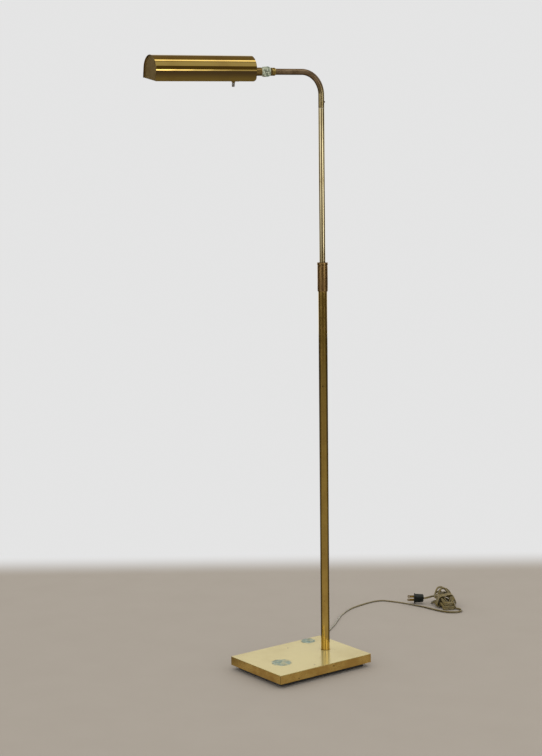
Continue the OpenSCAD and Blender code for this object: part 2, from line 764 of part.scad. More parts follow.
module swing_washer() color(nylon) pipe(joint_z, swing_washer_t, riser_d, riser_bore + 2 * fit);

// Arm
module arm_path(d) {
  bar(arm_foot, arm_z - bend_r - arm_foot, d);
  translate([-bend_r, 0, arm_z - bend_r]) rotate([90, 0, 0])
    rotate_extrude(angle = 90) translate([bend_r, 0]) circle(d = d);
  on_arm() bar(bend_r, arm_end - bend_r, d);
}

module arm_tube() color(bronze) difference() {
  arm_path(riser_d);
  arm_path(riser_bore);
  bar(arm_foot - past, 2 * past, riser_bore);
  on_arm() bar(arm_end - past, 2 * past, riser_bore);
  translate([0, 0, swing_screw_z]) rotate([0, 90, 0]) cylinder(h = riser_d, d = screw_d);
}

module swing_screw() color(bronze) translate([0, 0, swing_screw_z]) {
  grub(spigot_d / 2 - race_deep + clear, riser_bore / 2, riser_d / 2 + joined);
  rotate([0, 90, 0]) translate([0, 0, riser_d / 2])
    cylinder(h = swing_head_h, d1 = swing_head_d, d2 = screw_d);
}

module arm_ferrule() color(brass) on_arm()
  pipe(arm_end - ferrule_len, ferrule_len, ferrule_d, riser_d + 2 * fit);

// Half of the knuckle: a disc on one side of the middle and the bridge that joins it to its neck
module knuckle_half(side, hole) at_pivot() translate([0, 0, side > 0 ? -disc_out : disc_in]) {
  bridge_l = neck_gap + joined;
  difference() {
    union() {
      cylinder(h = disc_t, d = disc_d);
      translate([side > 0 ? 0 : -bridge_l, -bridge_h / 2, 0]) cube([bridge_l, bridge_h, disc_t]);
    }
    bore(0, disc_t, hole);
  }
}

module knuckle_arm() color(patina) {
  knuckle_half(1, pivot_d + 2 * fit);
  on_arm() {
    bar(arm_end, shoulder_t, ferrule_d);
    bar(arm_end - knuckle_grip, knuckle_grip + joined, riser_bore - 2 * fit);
  }
}

module knuckle_washer() color(fibre) at_pivot()
  pipe(-disc_in, tilt_washer_t, disc_d - 2 * clear, pivot_d + 2 * clear);

module knuckle_screw() color(brass) at_pivot() difference() {
  union() {
    bar(-disc_out - pivot_nut_h - joined, screw_head + disc_out + pivot_nut_h + 2 * joined, pivot_d);
    bar(screw_head, pivot_head_h - pivot_edge, pivot_head_d);
    translate([0, 0, screw_head + pivot_head_h - pivot_edge])
      cylinder(h = pivot_edge, d1 = pivot_head_d, d2 = pivot_head_d - 2 * pivot_edge);
  }
  translate([-pivot_head_d, -slot_w / 2, screw_head + pivot_head_h - slot_deep])
    cube([2 * pivot_head_d, slot_w, pivot_head_h]);
}

module knuckle_nut() color(brass) at_pivot()
  hex_nut(-disc_out - pivot_nut_h, pivot_nut_h, pivot_nut_d, pivot_d + 2 * fit);

// Head
module knuckle_head() color(patina) difference() {
  union() {
    knuckle_half(-1, pivot_d + 2 * run);
    on_arm() {
      bar(neck_r, neck_len, neck_d);
      bar(neck_end - neck_flange_t, neck_flange_t, neck_flange_d);
    }
  }
  on_arm() {
    bar(nipple_r, neck_len, nipple_d + 2 * run);
    translate([0, 0, roll_screw_r]) rotate([-90, 0, 0]) cylinder(h = neck_d, d = screw_d);
  }
}

module roll_screw() color(steel) on_arm() translate([0, 0, roll_screw_r]) rotate([0, 0, 90])
  grub(nipple_d / 2 - race_deep + clear, nipple_d / 2 + run, neck_d / 2 - roll_screw_sunk);

// Shade
module shade_nipple() color(steel) in_shade() difference() {
  pipe(nipple_r + clear, nipple_end - nipple_r - clear, nipple_d, wire_bore);
  pipe(roll_screw_r - race_w / 2, race_w, nipple_d + past, nipple_d - 2 * race_deep);
}

module shade_spacer() color(brass) in_shade()
  pipe(cap_face - spacer_t, spacer_t, spacer_d, nipple_d + 2 * fit);

module shade_shell() color(brass) in_shade() difference() {
  translate([0, 0, shell_start]) linear_extrude(shade_len) trough(0, side_low);
  translate([0, 0, shell_start - past])
    linear_extrude(shade_len + 2 * past) trough(shade_t, side_low - past);
  // Rounded corners at the rear
  for (y = [-1, 1]) translate([side_low, y * shade_r, shell_start]) rotate([90, 0, 0]) difference() {
    translate([-past, -past, -2 * shade_t])
      cube([rear_round + past, rear_round + past, 4 * shade_t]);
    translate([rear_round, rear_round, -3 * shade_t]) cylinder(h = 6 * shade_t, r = rear_round);
  }
}

module shade_front_cap() color(aged_brass) in_shade()
  translate([0, 0, front_face - cap_t]) linear_extrude(cap_t) trough(shade_t + fit, side_low);

module shade_rear_cap() color(aged_brass) in_shade() difference() {
  translate([0, 0, cap_face]) linear_extrude(cap_t) trough(shade_t + fit, side_low + rear_trim);
  bore(cap_face, cap_t, nipple_d + 2 * fit);
}

module shade_locknut() color(steel) in_shade()
  hex_nut(locknut_r, locknut_t, locknut_d, nipple_d + 2 * fit);

// Socket and bulb
module socket_cap() color(brass) in_shade() difference() {
  bar(socket_cap_r, socket_cap_len, socket_cap_d);
  bar(socket_cap_r + socket_cap_floor, socket_cap_len, socket_cap_bore);
  bore(socket_cap_r, socket_cap_floor, nipple_d + 2 * fit);
}

module socket_body() color(black) in_shade() difference() {
  bar(socket_r, socket_end - socket_r, socket_d);
  bar(socket_floor_r, socket_end - socket_r, socket_bore);
}

module socket_thread() color(brass) in_shade()
  pipe(socket_floor_r, socket_end - socket_floor_r - socket_wall, thread_d, thread_d - 2 * thread_wall);

module socket_contact() color(brass) in_shade() translate([0, 0, socket_floor_r]) {
  cylinder(h = contact_foot_t, d = contact_foot_d);
  cylinder(h = contact_h, d = contact_d);
}

module bulb_cap() color(steel) in_shade() translate([0, 0, bulb_r]) {
  cap_root = cap_tip_h + cap_cone_h;
  cylinder(h = cap_tip_h, d = cap_tip_d);
  translate([0, 0, cap_tip_h]) cylinder(h = cap_cone_h, d1 = cap_tip_d, d2 = bulb_core_d);
  bar(cap_root, bulb_cap_len - cap_root, bulb_core_d);
  for (k = [0:cap_threads - 1]) translate([0, 0, cap_root + cap_pitch * k + 2 * cap_thread]) {
    cylinder(h = cap_thread, d1 = bulb_core_d, d2 = bulb_cap_d);
    translate([0, 0, cap_thread]) cylinder(h = cap_thread, d1 = bulb_cap_d, d2 = bulb_core_d);
  }
}

// Half outline of the bulb's glass, from its neck to its round end
module bulb_half(inset) {
  r = bulb_d / 2 - inset;
  n = bulb_neck_d / 2 - inset;
  body = bulb_len - bulb_d / 2;
  flare_end = bulb_neck_len + bulb_flare;
  polygon([[0, 0], [n, 0], [n, bulb_neck_len], [r, flare_end], [r, body], [0, body]]);
  intersection() {
    translate([0, body]) circle(r = r);
    translate([0, body - joined]) square([r, r + joined]);
  }
}

module bulb_glass() color(glass) in_shade() translate([0, 0, glass_r]) rotate_extrude() difference() {
  bulb_half(0);
  bulb_half(bulb_wall);
}

// Switch under the socket
module switch_housing() color(black) in_shade() difference() {
  translate([-switch_drop, -switch_wid / 2, switch_r - switch_len / 2])
    cube([switch_drop, switch_wid, switch_len]);
  bar(switch_r - switch_len, 2 * switch_len, socket_cap_bore);
  bar(socket_cap_r, socket_cap_len + clear, socket_cap_d + 2 * clear);
  translate([-switch_drop - past, 0, switch_r]) rotate([0, 90, 0])
    cylinder(h = stem_in + past, d = stem_d + 2 * clear);
}

module switch_bush() color(brass) under_switch(switch_drop)
  pipe(0, switch_bush_h, switch_bush_d, stem_d + 2 * run);

module switch_stem() color(steel) under_switch(stem_seat + clear)
  cylinder(h = knob_top + knob_h / 2 - stem_seat - clear, d = stem_d);

module switch_knob() color(brass) under_switch(knob_top) difference() {
  union() {
    cylinder(h = knob_h - knob_edge, d = knob_d);
    translate([0, 0, knob_h - knob_edge])
      cylinder(h = knob_edge, d1 = knob_d, d2 = knob_d - 2 * knob_edge);
  }
  bar(-past, knob_h / 2 + past + fit, stem_d + 2 * fit);
}

base_pad();
base_weight();
base_shell();
foot_ring();
pole_tube();
pole_plug();
pole_stud();
pole_washer();
pole_nut();
collar_sleeve();
collar_bush();
collar_ring();
cord_gland();
cord_lead();
cord_hank();
cord_tie();
cord_tail();
plug_body();
plug_blades();
riser_tube();
riser_guide();
swing_spigot();
swing_washer();
arm_tube();
swing_screw();
arm_ferrule();
knuckle_arm();
knuckle_washer();
knuckle_screw();
knuckle_nut();
knuckle_head();
roll_screw();
shade_nipple();
shade_spacer();
shade_shell();
shade_front_cap();
shade_rear_cap();
shade_locknut();
socket_cap();
socket_body();
socket_thread();
socket_contact();
bulb_cap();
bulb_glass();
switch_housing();
switch_bush();
switch_stem();
switch_knob();
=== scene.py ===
# %% [markdown]
# # An adjustable brass reading lamp
#
# This lesson dresses a finished CAD model of a floor lamp: a weighted base, a telescoping pole, a
# swinging arm and a trough shade. The CAD solids are already in the right place and already move, so
# nothing here is fitted or moved. What is missing is what makes brass look like brass: rounded edges,
# beads and ribs that are too fine for the CAD, and finishes that show forty years of handling.

# %% Load the CAD frame
import json
import math

import bmesh
import bpy
from mathutils import Matrix, Vector

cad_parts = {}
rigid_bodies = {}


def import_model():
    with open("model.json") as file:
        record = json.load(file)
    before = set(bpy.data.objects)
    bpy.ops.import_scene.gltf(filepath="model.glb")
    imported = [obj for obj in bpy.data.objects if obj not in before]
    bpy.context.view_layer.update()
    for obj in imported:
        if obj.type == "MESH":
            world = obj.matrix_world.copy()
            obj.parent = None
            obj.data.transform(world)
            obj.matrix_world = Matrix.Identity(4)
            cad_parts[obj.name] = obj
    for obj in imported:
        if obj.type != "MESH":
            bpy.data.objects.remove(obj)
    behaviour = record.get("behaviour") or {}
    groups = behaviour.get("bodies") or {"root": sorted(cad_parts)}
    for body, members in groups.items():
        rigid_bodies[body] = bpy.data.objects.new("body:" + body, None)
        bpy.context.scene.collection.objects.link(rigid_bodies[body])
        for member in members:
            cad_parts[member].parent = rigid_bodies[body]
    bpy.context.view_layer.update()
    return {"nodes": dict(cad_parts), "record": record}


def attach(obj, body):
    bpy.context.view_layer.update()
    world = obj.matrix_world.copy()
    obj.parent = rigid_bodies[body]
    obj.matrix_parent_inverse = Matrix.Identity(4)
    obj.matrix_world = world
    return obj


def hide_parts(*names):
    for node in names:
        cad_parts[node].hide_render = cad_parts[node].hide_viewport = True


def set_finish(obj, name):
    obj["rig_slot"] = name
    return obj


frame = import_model()
MM = 0.001

# %% [markdown]
# ## The camera
#
# The camera stands where the photograph was taken: about 3.7 m from the pole, at chest height, with a
# long lens that looks down by some eight degrees. Tilting the camera, instead of shifting its lens,
# lets the upright pole lean very slightly in the picture, just as it does in the photograph.

# %% Place the camera
camera_at = (-1.9449, -3.1476, 1.1722)
camera_turn = [math.radians(a) for a in (81.697, 0.680, -30.068)]
bpy.ops.object.select_all(action="DESELECT")
bpy.ops.object.camera_add(location=camera_at, rotation=camera_turn)
camera = bpy.context.object
camera.name = "view_camera"
camera.data.lens = 82.76
camera.data.sensor_width = 36
camera.data.clip_end = 60
bpy.context.scene.camera = camera
print("camera", [round(x, 2) for x in camera.location])

# %% [markdown]
# ## The cord's route
#
# The flat twin cord leaves a strain relief in the base, wanders over the floor, turns on edge and goes
# round and round as a hank before a short tail runs to the plug. A cord like this could be a bevelled
# curve, but a curve twists its profile freely. Here the route is worked out point by point with the
# roll at each point, so that the flat cord lies flat on the floor and stands on edge in the hank.
#
# Nobody winds a hank evenly. Each loop starts as an even one. The upper loops are then made narrower,
# the near end is drawn out, and slow waves push every loop a little off the last, so that the far end
# fans out.

# %% Small tools for routes
def smooth(x):
    c = max(0.0, min(1.0, x))
    return c * c * (3 - 2 * c)


def through(points, step):
    """Points about a step apart on a smooth curve through the given ones."""
    out = []
    for i in range(len(points) - 1):
        a, b = points[max(i - 1, 0)], points[i]
        c, d = points[i + 1], points[min(i + 2, len(points) - 1)]
        count = max(1, round((c - b).length / step))
        for k in range(count):
            t = k / count
            out.append(0.5 * (2 * b + (c - a) * t + (2 * a - 5 * b + 4 * c - d) * t * t
                              + (3 * b - a - 3 * c + d) * t ** 3))
    return out + [points[-1].copy()]


def route_length(points):
    return sum((b - a).length for a, b in zip(points, points[1:]))


# %% The hank's loops
cord_w, cord_t = 4.8, 2.5
hank_at, hank_heading = Vector((482, 219, 0)), math.radians(70)
hank_half, fold_r, hank_waist = 40.5, 23.5, 10
hank_run = hank_half - fold_r
hank_round = 4 * hank_run + 2 * math.pi * fold_r
hank_turns, hank_layers, hank_start, hank_end = 3, 4, -2 / 24, 13.25
hank_step, hank_pitch, hank_low = cord_t + 0.8, cord_w + 0.8, cord_w / 2 + 0.2
waist_pinch, waist_lift, far_lift = 1.5, 5, 5.5
leave_turn, leave_wider, leave_drop = 0.3, 1.5, 35
top_narrower, near_longer, near_nose, near_narrower, top_set_back = 0.25, 1.4, 0.62, 0.38, 8
steps_a_turn = 96


def waist(u, end):
    return 1 - smooth((abs(u) - hank_waist) / (end - hank_waist))


def hank_place(along, across, up):
    spot = Matrix.Rotation(hank_heading, 3, "Z") @ Vector((along, across, 0))
    return hank_at + spot + Vector((0, 0, up))


def even_loop(q, r):
    """How far along and across the hank an even loop with ends of radius r is after q turns."""
    gone = (q - math.floor(q)) * hank_round
    fold = math.pi * fold_r
    legs = (hank_run, fold, 2 * hank_run, fold, hank_run)
    leg = 0
    while leg < 4 and gone >= legs[leg]:
        gone -= legs[leg]
        leg += 1
    if leg in (1, 3):
        turn = math.pi * gone / fold
        side = 1 if leg == 1 else -1
        return side * (hank_run + r * math.sin(turn)), -side * r * math.cos(turn)
    along = {0: gone, 2: hank_run - gone, 4: gone - hank_run}[leg]
    return along, (1 if leg == 2 else -1) * (r - waist_pinch * waist(along, hank_run))


def hank_point(q):
    """A place on the loosened hank after q turns."""
    layer = max(0, min(hank_layers - 1, math.floor(q / hank_turns)))
    done = q - layer * hank_turns
    leaving = smooth((q - hank_end + leave_turn) / leave_turn)
    r = fold_r - hank_step * (done if layer % 2 == 0 else hank_turns - done)
    r += leave_wider * leaving
    along, across = even_loop(q, r)
    back = max(0, along - hank_waist) / (hank_half - hank_waist)
    climbed = sum(smooth((q - m * hank_turns) / 0.16 + 0.5) for m in range(1, hank_layers))
    up = hank_low + waist_lift * waist(along, 30) + climbed * (hank_pitch + far_lift * back * back)
    # The upper loops are narrower, and the near end is drawn out
    top = climbed / (hank_layers - 1) * (1 - leaving)
    narrow = 1 - top_narrower * top
    straight = min(abs(along), hank_run)
    nose = abs(along) - straight
    if along > 0:
        along = straight + narrow * nose
    else:
        along = -near_longer * straight - near_nose * narrow * nose
        along += top_set_back * top * straight / hank_run
    # Slow waves push each loop off the last
    far, near = smooth((along - 8) / 28), smooth((-along - 2) / 20)
    along += 3.5 * far * math.sin(2.3 * q + 0.6) + 2 * near * math.sin(1.9 * q)
    across *= narrow * (1 + 0.12 * far * math.sin(2.9 * q) - near_narrower * near)
    across += 0.2 * along * math.sin(2.1 * q + 0.5) * (1 - leaving)
    up += climbed * far * (1.4 + 2.2 * math.sin(3.7 * q + 2)) - 1.4 * climbed * near
    return hank_place(along, across, up - leave_drop * leaving)


hank_count = round((hank_end - hank_start) * steps_a_turn)
loops = [hank_point(hank_start + k / steps_a_turn) for k in range(hank_count + 1)]
way_in = (loops[1] - loops[0]).normalized()
way_out = (loops[-1] - loops[-2]).normalized()
print("hank", round(route_length(loops) / 1000, 3), "m of cord in", hank_count // steps_a_turn, "turns")

# %% The lead over the floor and the tail to the plug
base_turn = math.radians(7)
base_spin = Matrix.Rotation(base_turn, 4, "Z")
gland_x, gland_y, gland_z, gland_long = 40, 89, 15.5, 22
gland_tip = base_spin @ Vector((gland_x, gland_y + gland_long, gland_z))
gland_way = base_spin @ Vector((0, 1, 0))
plug_at, plug_heading, plug_lean = Vector((439.5, 273.5, 13.89)), math.radians(148), 55
plug_way = Vector((math.cos(plug_heading), math.sin(plug_heading), 0))
plug_back, floor_rest = 11, 1.5
plug_rear = plug_at - plug_way * plug_back

# Places on the floor in millimetres; a third number lifts the cord from it
floor_way = [
    (26, 130, 12.5), (31, 140, 8), (40, 148, 4), (52, 153, 2), (66, 157), (80, 161), (94, 166),
    (107, 173), (119, 184), (131, 195), (143, 206), (154, 216), (165, 227), (176, 238), (187, 250),
    (198, 261), (209, 273), (220, 284), (232, 294), (245, 304), (258, 313), (271, 321), (285, 327),
    (299, 332), (313, 336), (327, 340), (341, 343), (355, 345), (368, 344), (379, 339), (387, 330),
    (394, 319), (401, 308), (408, 295), (413, 283), (418, 270), (423, 256), (428, 242), (432, 228),
    (435, 214), (438, 200), (442, 186), (448, 173), (457, 163), (466, 157), (475, 155), (483, 157),
    (489, 163, 1.8), (491, 171, 2.4),
]
lead = [gland_tip - gland_way * 6, gland_tip + gland_way * cord_w]
lead += [Vector(p if len(p) == 3 else (*p, floor_rest)) for p in floor_way]
lead += [loops[0] - way_in * 2 * cord_w]
tail = [loops[-1] + way_out * 2 * cord_w]
tail += [Vector(p) for p in ((481.5, 266.5, 15.2), (472, 267, 14.6), (463, 265.5, 14.2))]
tail += [plug_rear - plug_way * cord_w, plug_rear + plug_way * 2]
lead = through(lead, 2)
tail = through(tail, 2)
on_edge, sway, easing = 90, 14, 100
twist_from = len(lead) - easing - 10
route, rolls = [], []
for i, spot in enumerate(lead):
    roll = on_edge * smooth((i - twist_from) / easing)
    a = math.radians(roll)
    spot.z = max(spot.z, 0.2 + ((cord_w - cord_t) * math.sin(a) + cord_t) / 2)
    route.append(spot)
    rolls.append(roll)
for k, spot in enumerate(loops):
    route.append(spot)
    eased = smooth(k / easing) * smooth((len(loops) - k) / easing)
    rolls.append(on_edge + sway * math.sin(0.11 * k) * eased)
for i, spot in enumerate(tail):
    route.append(spot)
    rolls.append(on_edge + (plug_lean - on_edge) * smooth(i / (len(tail) - 2)))
print("cord", round(route_length(route) / 1000, 3), "m,", len(route), "points")

# %% [markdown]
# ## The cord's body
#
# Twin lamp cord is two round insulated strands side by side with a thin web between them. Its profile
# is two arcs, and it is carried along the route ring by ring. A UV map is written at the same time,
# because the twist of the copper under the gold plastic has to follow the cord round every loop.

# %% Sweep the twin profile along a route
def twin_profile():
    lobe = (cord_w - cord_t) / 2
    arc = [math.radians(-143 + 28.6 * k) for k in range(11)]
    right = [(lobe + cord_t / 2 * math.cos(a), cord_t / 2 * math.sin(a)) for a in arc]
    return right + [(-x, -y) for x, y in right]


def swept(name, way, rolls, across=None):
    """A closed twin-cord mesh along a route in millimetres; across fixes the way its width points."""
    profile = twin_profile()
    count, last = len(profile), len(way) - 1
    points, faces, marks = [], [], []
    gone = 0.0
    for i, spot in enumerate(way):
        heading = (way[min(i + 1, last)] - way[max(i - 1, 0)]).normalized()
        side = across or heading.cross(Vector((0, 0, 1))).normalized()
        up = side.cross(heading).normalized()
        c, s = math.cos(math.radians(rolls[i])), math.sin(math.radians(rolls[i]))
        gone += (spot - way[i - 1]).length if i else 0.0
        for x, y in profile:
            points.append((spot + side * (x * c - y * s) + up * (x * s + y * c)) * MM)
        marks.append(gone * MM)
    for i in range(last):
        for k in range(count):
            a, b = i * count + k, i * count + (k + 1) % count
            faces.append((a, a + count, b + count, b))
    faces.append(tuple(range(count)))
    faces.append(tuple(reversed(range(last * count, (last + 1) * count))))
    mesh = bpy.data.meshes.new(name)
    mesh.from_pydata(points, [], faces)
    piece = bpy.data.objects.new(name, mesh)
    bpy.context.scene.collection.objects.link(piece)
    strand = mesh.uv_layers.new(name="strand")
    for face in mesh.polygons:
        ring = min(face.vertices) // count
        edge = min(face.vertices) % count
        for loop in face.loop_indices:
            point = mesh.loops[loop].vertex_index
            far = 1 if point // count > ring else 0
            turn = (point % count) / count
            if edge == 0 and point % count == count - 1 and len(face.vertices) == 4:
                turn = 1.0
            strand.data[loop].uv = (turn, marks[min(ring + far, last)])
        face.use_smooth = len(face.vertices) == 4
    return piece


cord = swept("lamp_cord", route, rolls)
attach(cord, "stand")
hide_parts("cord_lead", "cord_hank", "cord_tail")
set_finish(cord, "gold_cord")
print("cord mesh", len(cord.data.polygons), "faces")

# %% [markdown]
# ## The tie round the hank
#
# Three turns of the same cord hold the hank at its waist. They lie flat on the bundle, so their width
# keeps pointing along the hank while the route goes round a squared-off oval, which is narrower at the
# top, as the bundle is.

# %% Wind the tie
def squared(c):
    """Pushes a sine or cosine outwards, which turns a circle into a squared-off one."""
    return math.copysign(abs(c) ** (2 / 7), c)


hank_axis = Vector((math.cos(hank_heading), math.sin(hank_heading), 0))
tie_turns, tie_steps, tie_pitch, tie_slant = 3, 48, 5.5, 0.12
tie_middle, tie_half_h, tie_half_w, tie_narrower = 16.0, 12.8, 25.4, 0.3
tie_way = []
for k in range(tie_turns * tie_steps + 1):
    q = k / tie_steps
    a = 2 * math.pi * q
    up = tie_middle + tie_half_h * squared(math.cos(a))
    across = tie_half_w * squared(math.sin(a)) * (1 - tie_narrower * smooth((up - 6) / 24))
    tie_way.append(hank_place((q - tie_turns / 2) * tie_pitch - tie_slant * across, across, up))
tie_way = through(tie_way, 1.5)
tie = swept("cord_wrap", tie_way, [0] * len(tie_way), hank_axis)
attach(tie, "stand")
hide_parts("cord_tie")
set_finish(tie, "gold_cord")
print("tie", round(route_length(tie_way) / 1000, 3), "m round the hank")

# %% [markdown]
# ## Modelling by hand, in code
#
# The other new pieces are modelled as one would with a mouse: add a primitive, go into edit mode,
# select some faces or edges, extrude, inset, bevel, and come back out. A few small helpers keep that
# readable. `begin` names a fresh primitive, `choose` selects by a test, `round_edges` puts a bevel on
# what is sharp, and `turned` works like a lathe. `settle` weights the normals, so that flat faces stay
# flat beside a rounded edge, fixes the piece in its place and hands it to a body of the lamp.

# %% Helpers for modelling
def begin(name):
    piece = bpy.context.object
    piece.name = name
    piece.data.name = name
    bpy.ops.object.transform_apply(location=True, rotation=True, scale=True)
    return piece


def choose(piece, kind, wanted):
    """Goes into edit mode and selects the faces, edges or points that pass a test."""
    bpy.ops.object.mode_set(mode="EDIT")
    bpy.ops.mesh.select_mode(type={"faces": "FACE", "edges": "EDGE", "verts": "VERT"}[kind])
    bpy.ops.mesh.select_all(action="DESELECT")
    shape = bmesh.from_edit_mesh(piece.data)
    shape.normal_update()
    for part in getattr(shape, kind):
        if wanted(part):
            part.select_set(True)
    shape.select_flush_mode()
    bmesh.update_edit_mesh(piece.data)


def tag_selected(piece, number):
    """Gives the selected faces a material number."""
    shape = bmesh.from_edit_mesh(piece.data)
    for face in shape.faces:
        if face.select:
            face.material_index = number
    bmesh.update_edit_mesh(piece.data)


def middle(edge):
    return (edge.verts[0].co + edge.verts[1].co) / 2


def apply_modifier(piece, kind, **settings):
    bpy.ops.object.mode_set(mode="OBJECT")
    step = piece.modifiers.new(kind.lower(), kind)
    for setting, value in settings.items():
        setattr(step, setting, value)
    bpy.ops.object.modifier_apply(modifier=step.name)


def round_edges(piece, width, segments=3, angle=32):
    apply_modifier(piece, "BEVEL", width=width * MM, segments=segments, limit_method="ANGLE",
                   angle_limit=math.radians(angle), harden_normals=False)


def tidy_mesh():
    """Merges the doubles of the active piece and turns every face outwards."""
    bpy.ops.object.mode_set(mode="EDIT")
    bpy.ops.mesh.select_all(action="SELECT")
    bpy.ops.mesh.remove_doubles(threshold=1e-6)
    bpy.ops.mesh.normals_make_consistent(inside=False)
    bpy.ops.object.mode_set(mode="OBJECT")


def settle(piece, body, slot, nodes, place=None, angle=32):
    bpy.ops.object.mode_set(mode="OBJECT")
    if place is not None:
        piece.matrix_world = place
        bpy.ops.object.transform_apply(location=True, rotation=True, scale=True)
    bpy.ops.object.shade_smooth_by_angle(angle=math.radians(angle))
    apply_modifier(piece, "WEIGHTED_NORMAL", keep_sharp=True)
    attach(piece, body)
    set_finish(piece, slot)
    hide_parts(*nodes)
    bpy.ops.object.select_all(action="DESELECT")
    print(piece.name, len(piece.data.polygons), "faces, rides on", body)
    return piece


def turned(name, rings, sides=72):
    """Extrudes and scales a circle from ring to ring. Rings are (radius, height) in millimetres."""
    bpy.ops.object.select_all(action="DESELECT")
    bpy.ops.mesh.primitive_circle_add(vertices=sides, radius=rings[0][0] * MM)
    piece = begin(name)
    choose(piece, "edges", lambda e: True)
    bpy.ops.transform.translate(value=(0, 0, rings[0][1] * MM))
    for (r0, z0), (r1, z1) in zip(rings, rings[1:]):
        bpy.ops.mesh.extrude_region_move(TRANSFORM_OT_translate={"value": (0, 0, (z1 - z0) * MM)})
        bpy.ops.transform.resize(value=(r1 / r0, r1 / r0, 1), center_override=(0, 0, z1 * MM))
    if rings[0] != rings[-1]:
        choose(piece, "edges", lambda e: e.is_boundary)
        bpy.ops.mesh.edge_face_add()
    tidy_mesh()
    return piece


def raised(foot, rings):
    """Rings that are measured from a foot, moved up to it."""
    return [(r, foot + up) for r, up in rings]


# Where a piece that was made about the origin goes: along the arm, or into the rolled shade
arm_height, shade_roll = 1279.6, 9
to_arm = Matrix.Translation((0, 0, arm_height * MM))
along_arm = to_arm @ Matrix.Rotation(math.radians(-90), 4, "Y")
in_shade = to_arm @ Matrix.Rotation(math.radians(shade_roll), 4, "X")

# %% [markdown]
# ## The strain relief
#
# Where the cord leaves the base, a moulded strain relief keeps it from kinking. It is a tapered sleeve
# with ribs cut round it so that it can flex. It is turned on the lathe: one circle, extruded and scaled
# ring by ring.

# %% Turn the strain relief
relief_rings = [(3.7, -1.6), (3.7, 0), (5.1, 0), (5.1, 1.6), (4.5, 2.2)]
for k in range(6):
    low = 3.4 + 3 * k
    r = 4.5 - 1.3 * low / gland_long
    relief_rings += [(r, low), (r - 0.7, low + 0.3), (r - 0.75, low + 1.3), (r - 0.1, low + 1.6)]
relief_rings += raised(gland_long, [(3.2, -0.4), (3.0, 0), (2.75, 0), (2.7, -1.5)])
relief = turned("cord_relief", relief_rings, 48)
round_edges(relief, 0.15, 2)
on_base = base_spin @ Matrix.Translation((gland_x * MM, gland_y * MM, gland_z * MM))
relief_place = on_base @ Matrix.Rotation(math.radians(-90), 4, "X")
settle(relief, "stand", "fibre", ["cord_gland"], relief_place)

# %% [markdown]
# ## The plug
#
# An old two-blade plug: a square moulded body, grip ribs on both broad faces, and a thin flange at the
# front that keeps fingers off the blades. The body starts as a cube. Its long edges are bevelled first,
# then the ribs are extruded from strips of the broad faces, and the flange grows out of the front face.

# %% Model the plug's body
plug_place = (Matrix.Translation(plug_at * MM) @ Matrix.Rotation(plug_heading, 4, "Z")
              @ Matrix.Rotation(math.radians(plug_lean), 4, "X"))
plug_long, plug_wide, plug_thick, plug_front = 20, 25, 10, 9
flange_wide, flange_thick, flange_deep = 28.2, 13.2, 2
rib_from, rib_to, rib_pitch, rib_half, rib_high = -8.5, 6.5, 1.58, 9, 0.55


def on_rib(face):
    spot = face.calc_center_median() / MM
    if abs(face.normal.z) < 0.9 or abs(spot.y) > rib_half or not rib_from < spot.x < rib_to:
        return False
    return int((spot.x - rib_from) / rib_pitch) % 2 == 0


bpy.ops.mesh.primitive_cube_add(size=1, location=((plug_front - plug_long / 2) * MM, 0, 0),
                                scale=(plug_long * MM, plug_wide * MM, plug_thick * MM))
plug = begin("plug_shell")
choose(plug, "faces", lambda f: f.normal.x < -0.9)
bpy.ops.transform.resize(value=(1, 0.92, 0.9), center_override=(-plug_back * MM, 0, 0))
choose(plug, "edges", lambda e: abs(middle(e).y) > 5 * MM and abs(middle(e).z) > 3 * MM)
bpy.ops.mesh.bevel(offset=3.2 * MM, segments=5)
choose(plug, "faces", lambda f: abs(f.normal.z) > 0.9)
bpy.ops.mesh.inset(thickness=1.2 * MM, use_individual=True)
bpy.ops.mesh.subdivide(number_cuts=10)
choose(plug, "faces", on_rib)
bpy.ops.mesh.extrude_region_shrink_fatten(TRANSFORM_OT_shrink_fatten={"value": rib_high * MM})
choose(plug, "faces", lambda f: f.normal.x > 0.9 and f.calc_center_median().x > (plug_front - 0.1) * MM)
bpy.ops.mesh.extrude_region_move(TRANSFORM_OT_translate={"value": (0, 0, 0)})
bpy.ops.transform.resize(value=(1, flange_wide / plug_wide, flange_thick / plug_thick),
                         center_override=(plug_front * MM, 0, 0))
bpy.ops.mesh.extrude_region_move(TRANSFORM_OT_translate={"value": (flange_deep * MM, 0, 0)})
choose(plug, "faces", lambda f: f.normal.x < -0.9 and f.calc_center_median().x < (0.1 - plug_back) * MM)
bpy.ops.mesh.inset(thickness=2.1 * MM)
bpy.ops.mesh.extrude_region_move(TRANSFORM_OT_translate={"value": (-1.2 * MM, 0, 0)})
tidy_mesh()
round_edges(plug, 0.35, 3, 28)
settle(plug, "stand", "black_plug", ["plug_body"], plug_place)

# %% [markdown]
# ## The plug's blades
#
# Each blade is a stamped brass strip with a rounded tip and a hole near its end. One blade is modelled
# and copied. The hole is cut by a Boolean modifier, because a round hole through a thin strip is
# quicker to cut than to build.

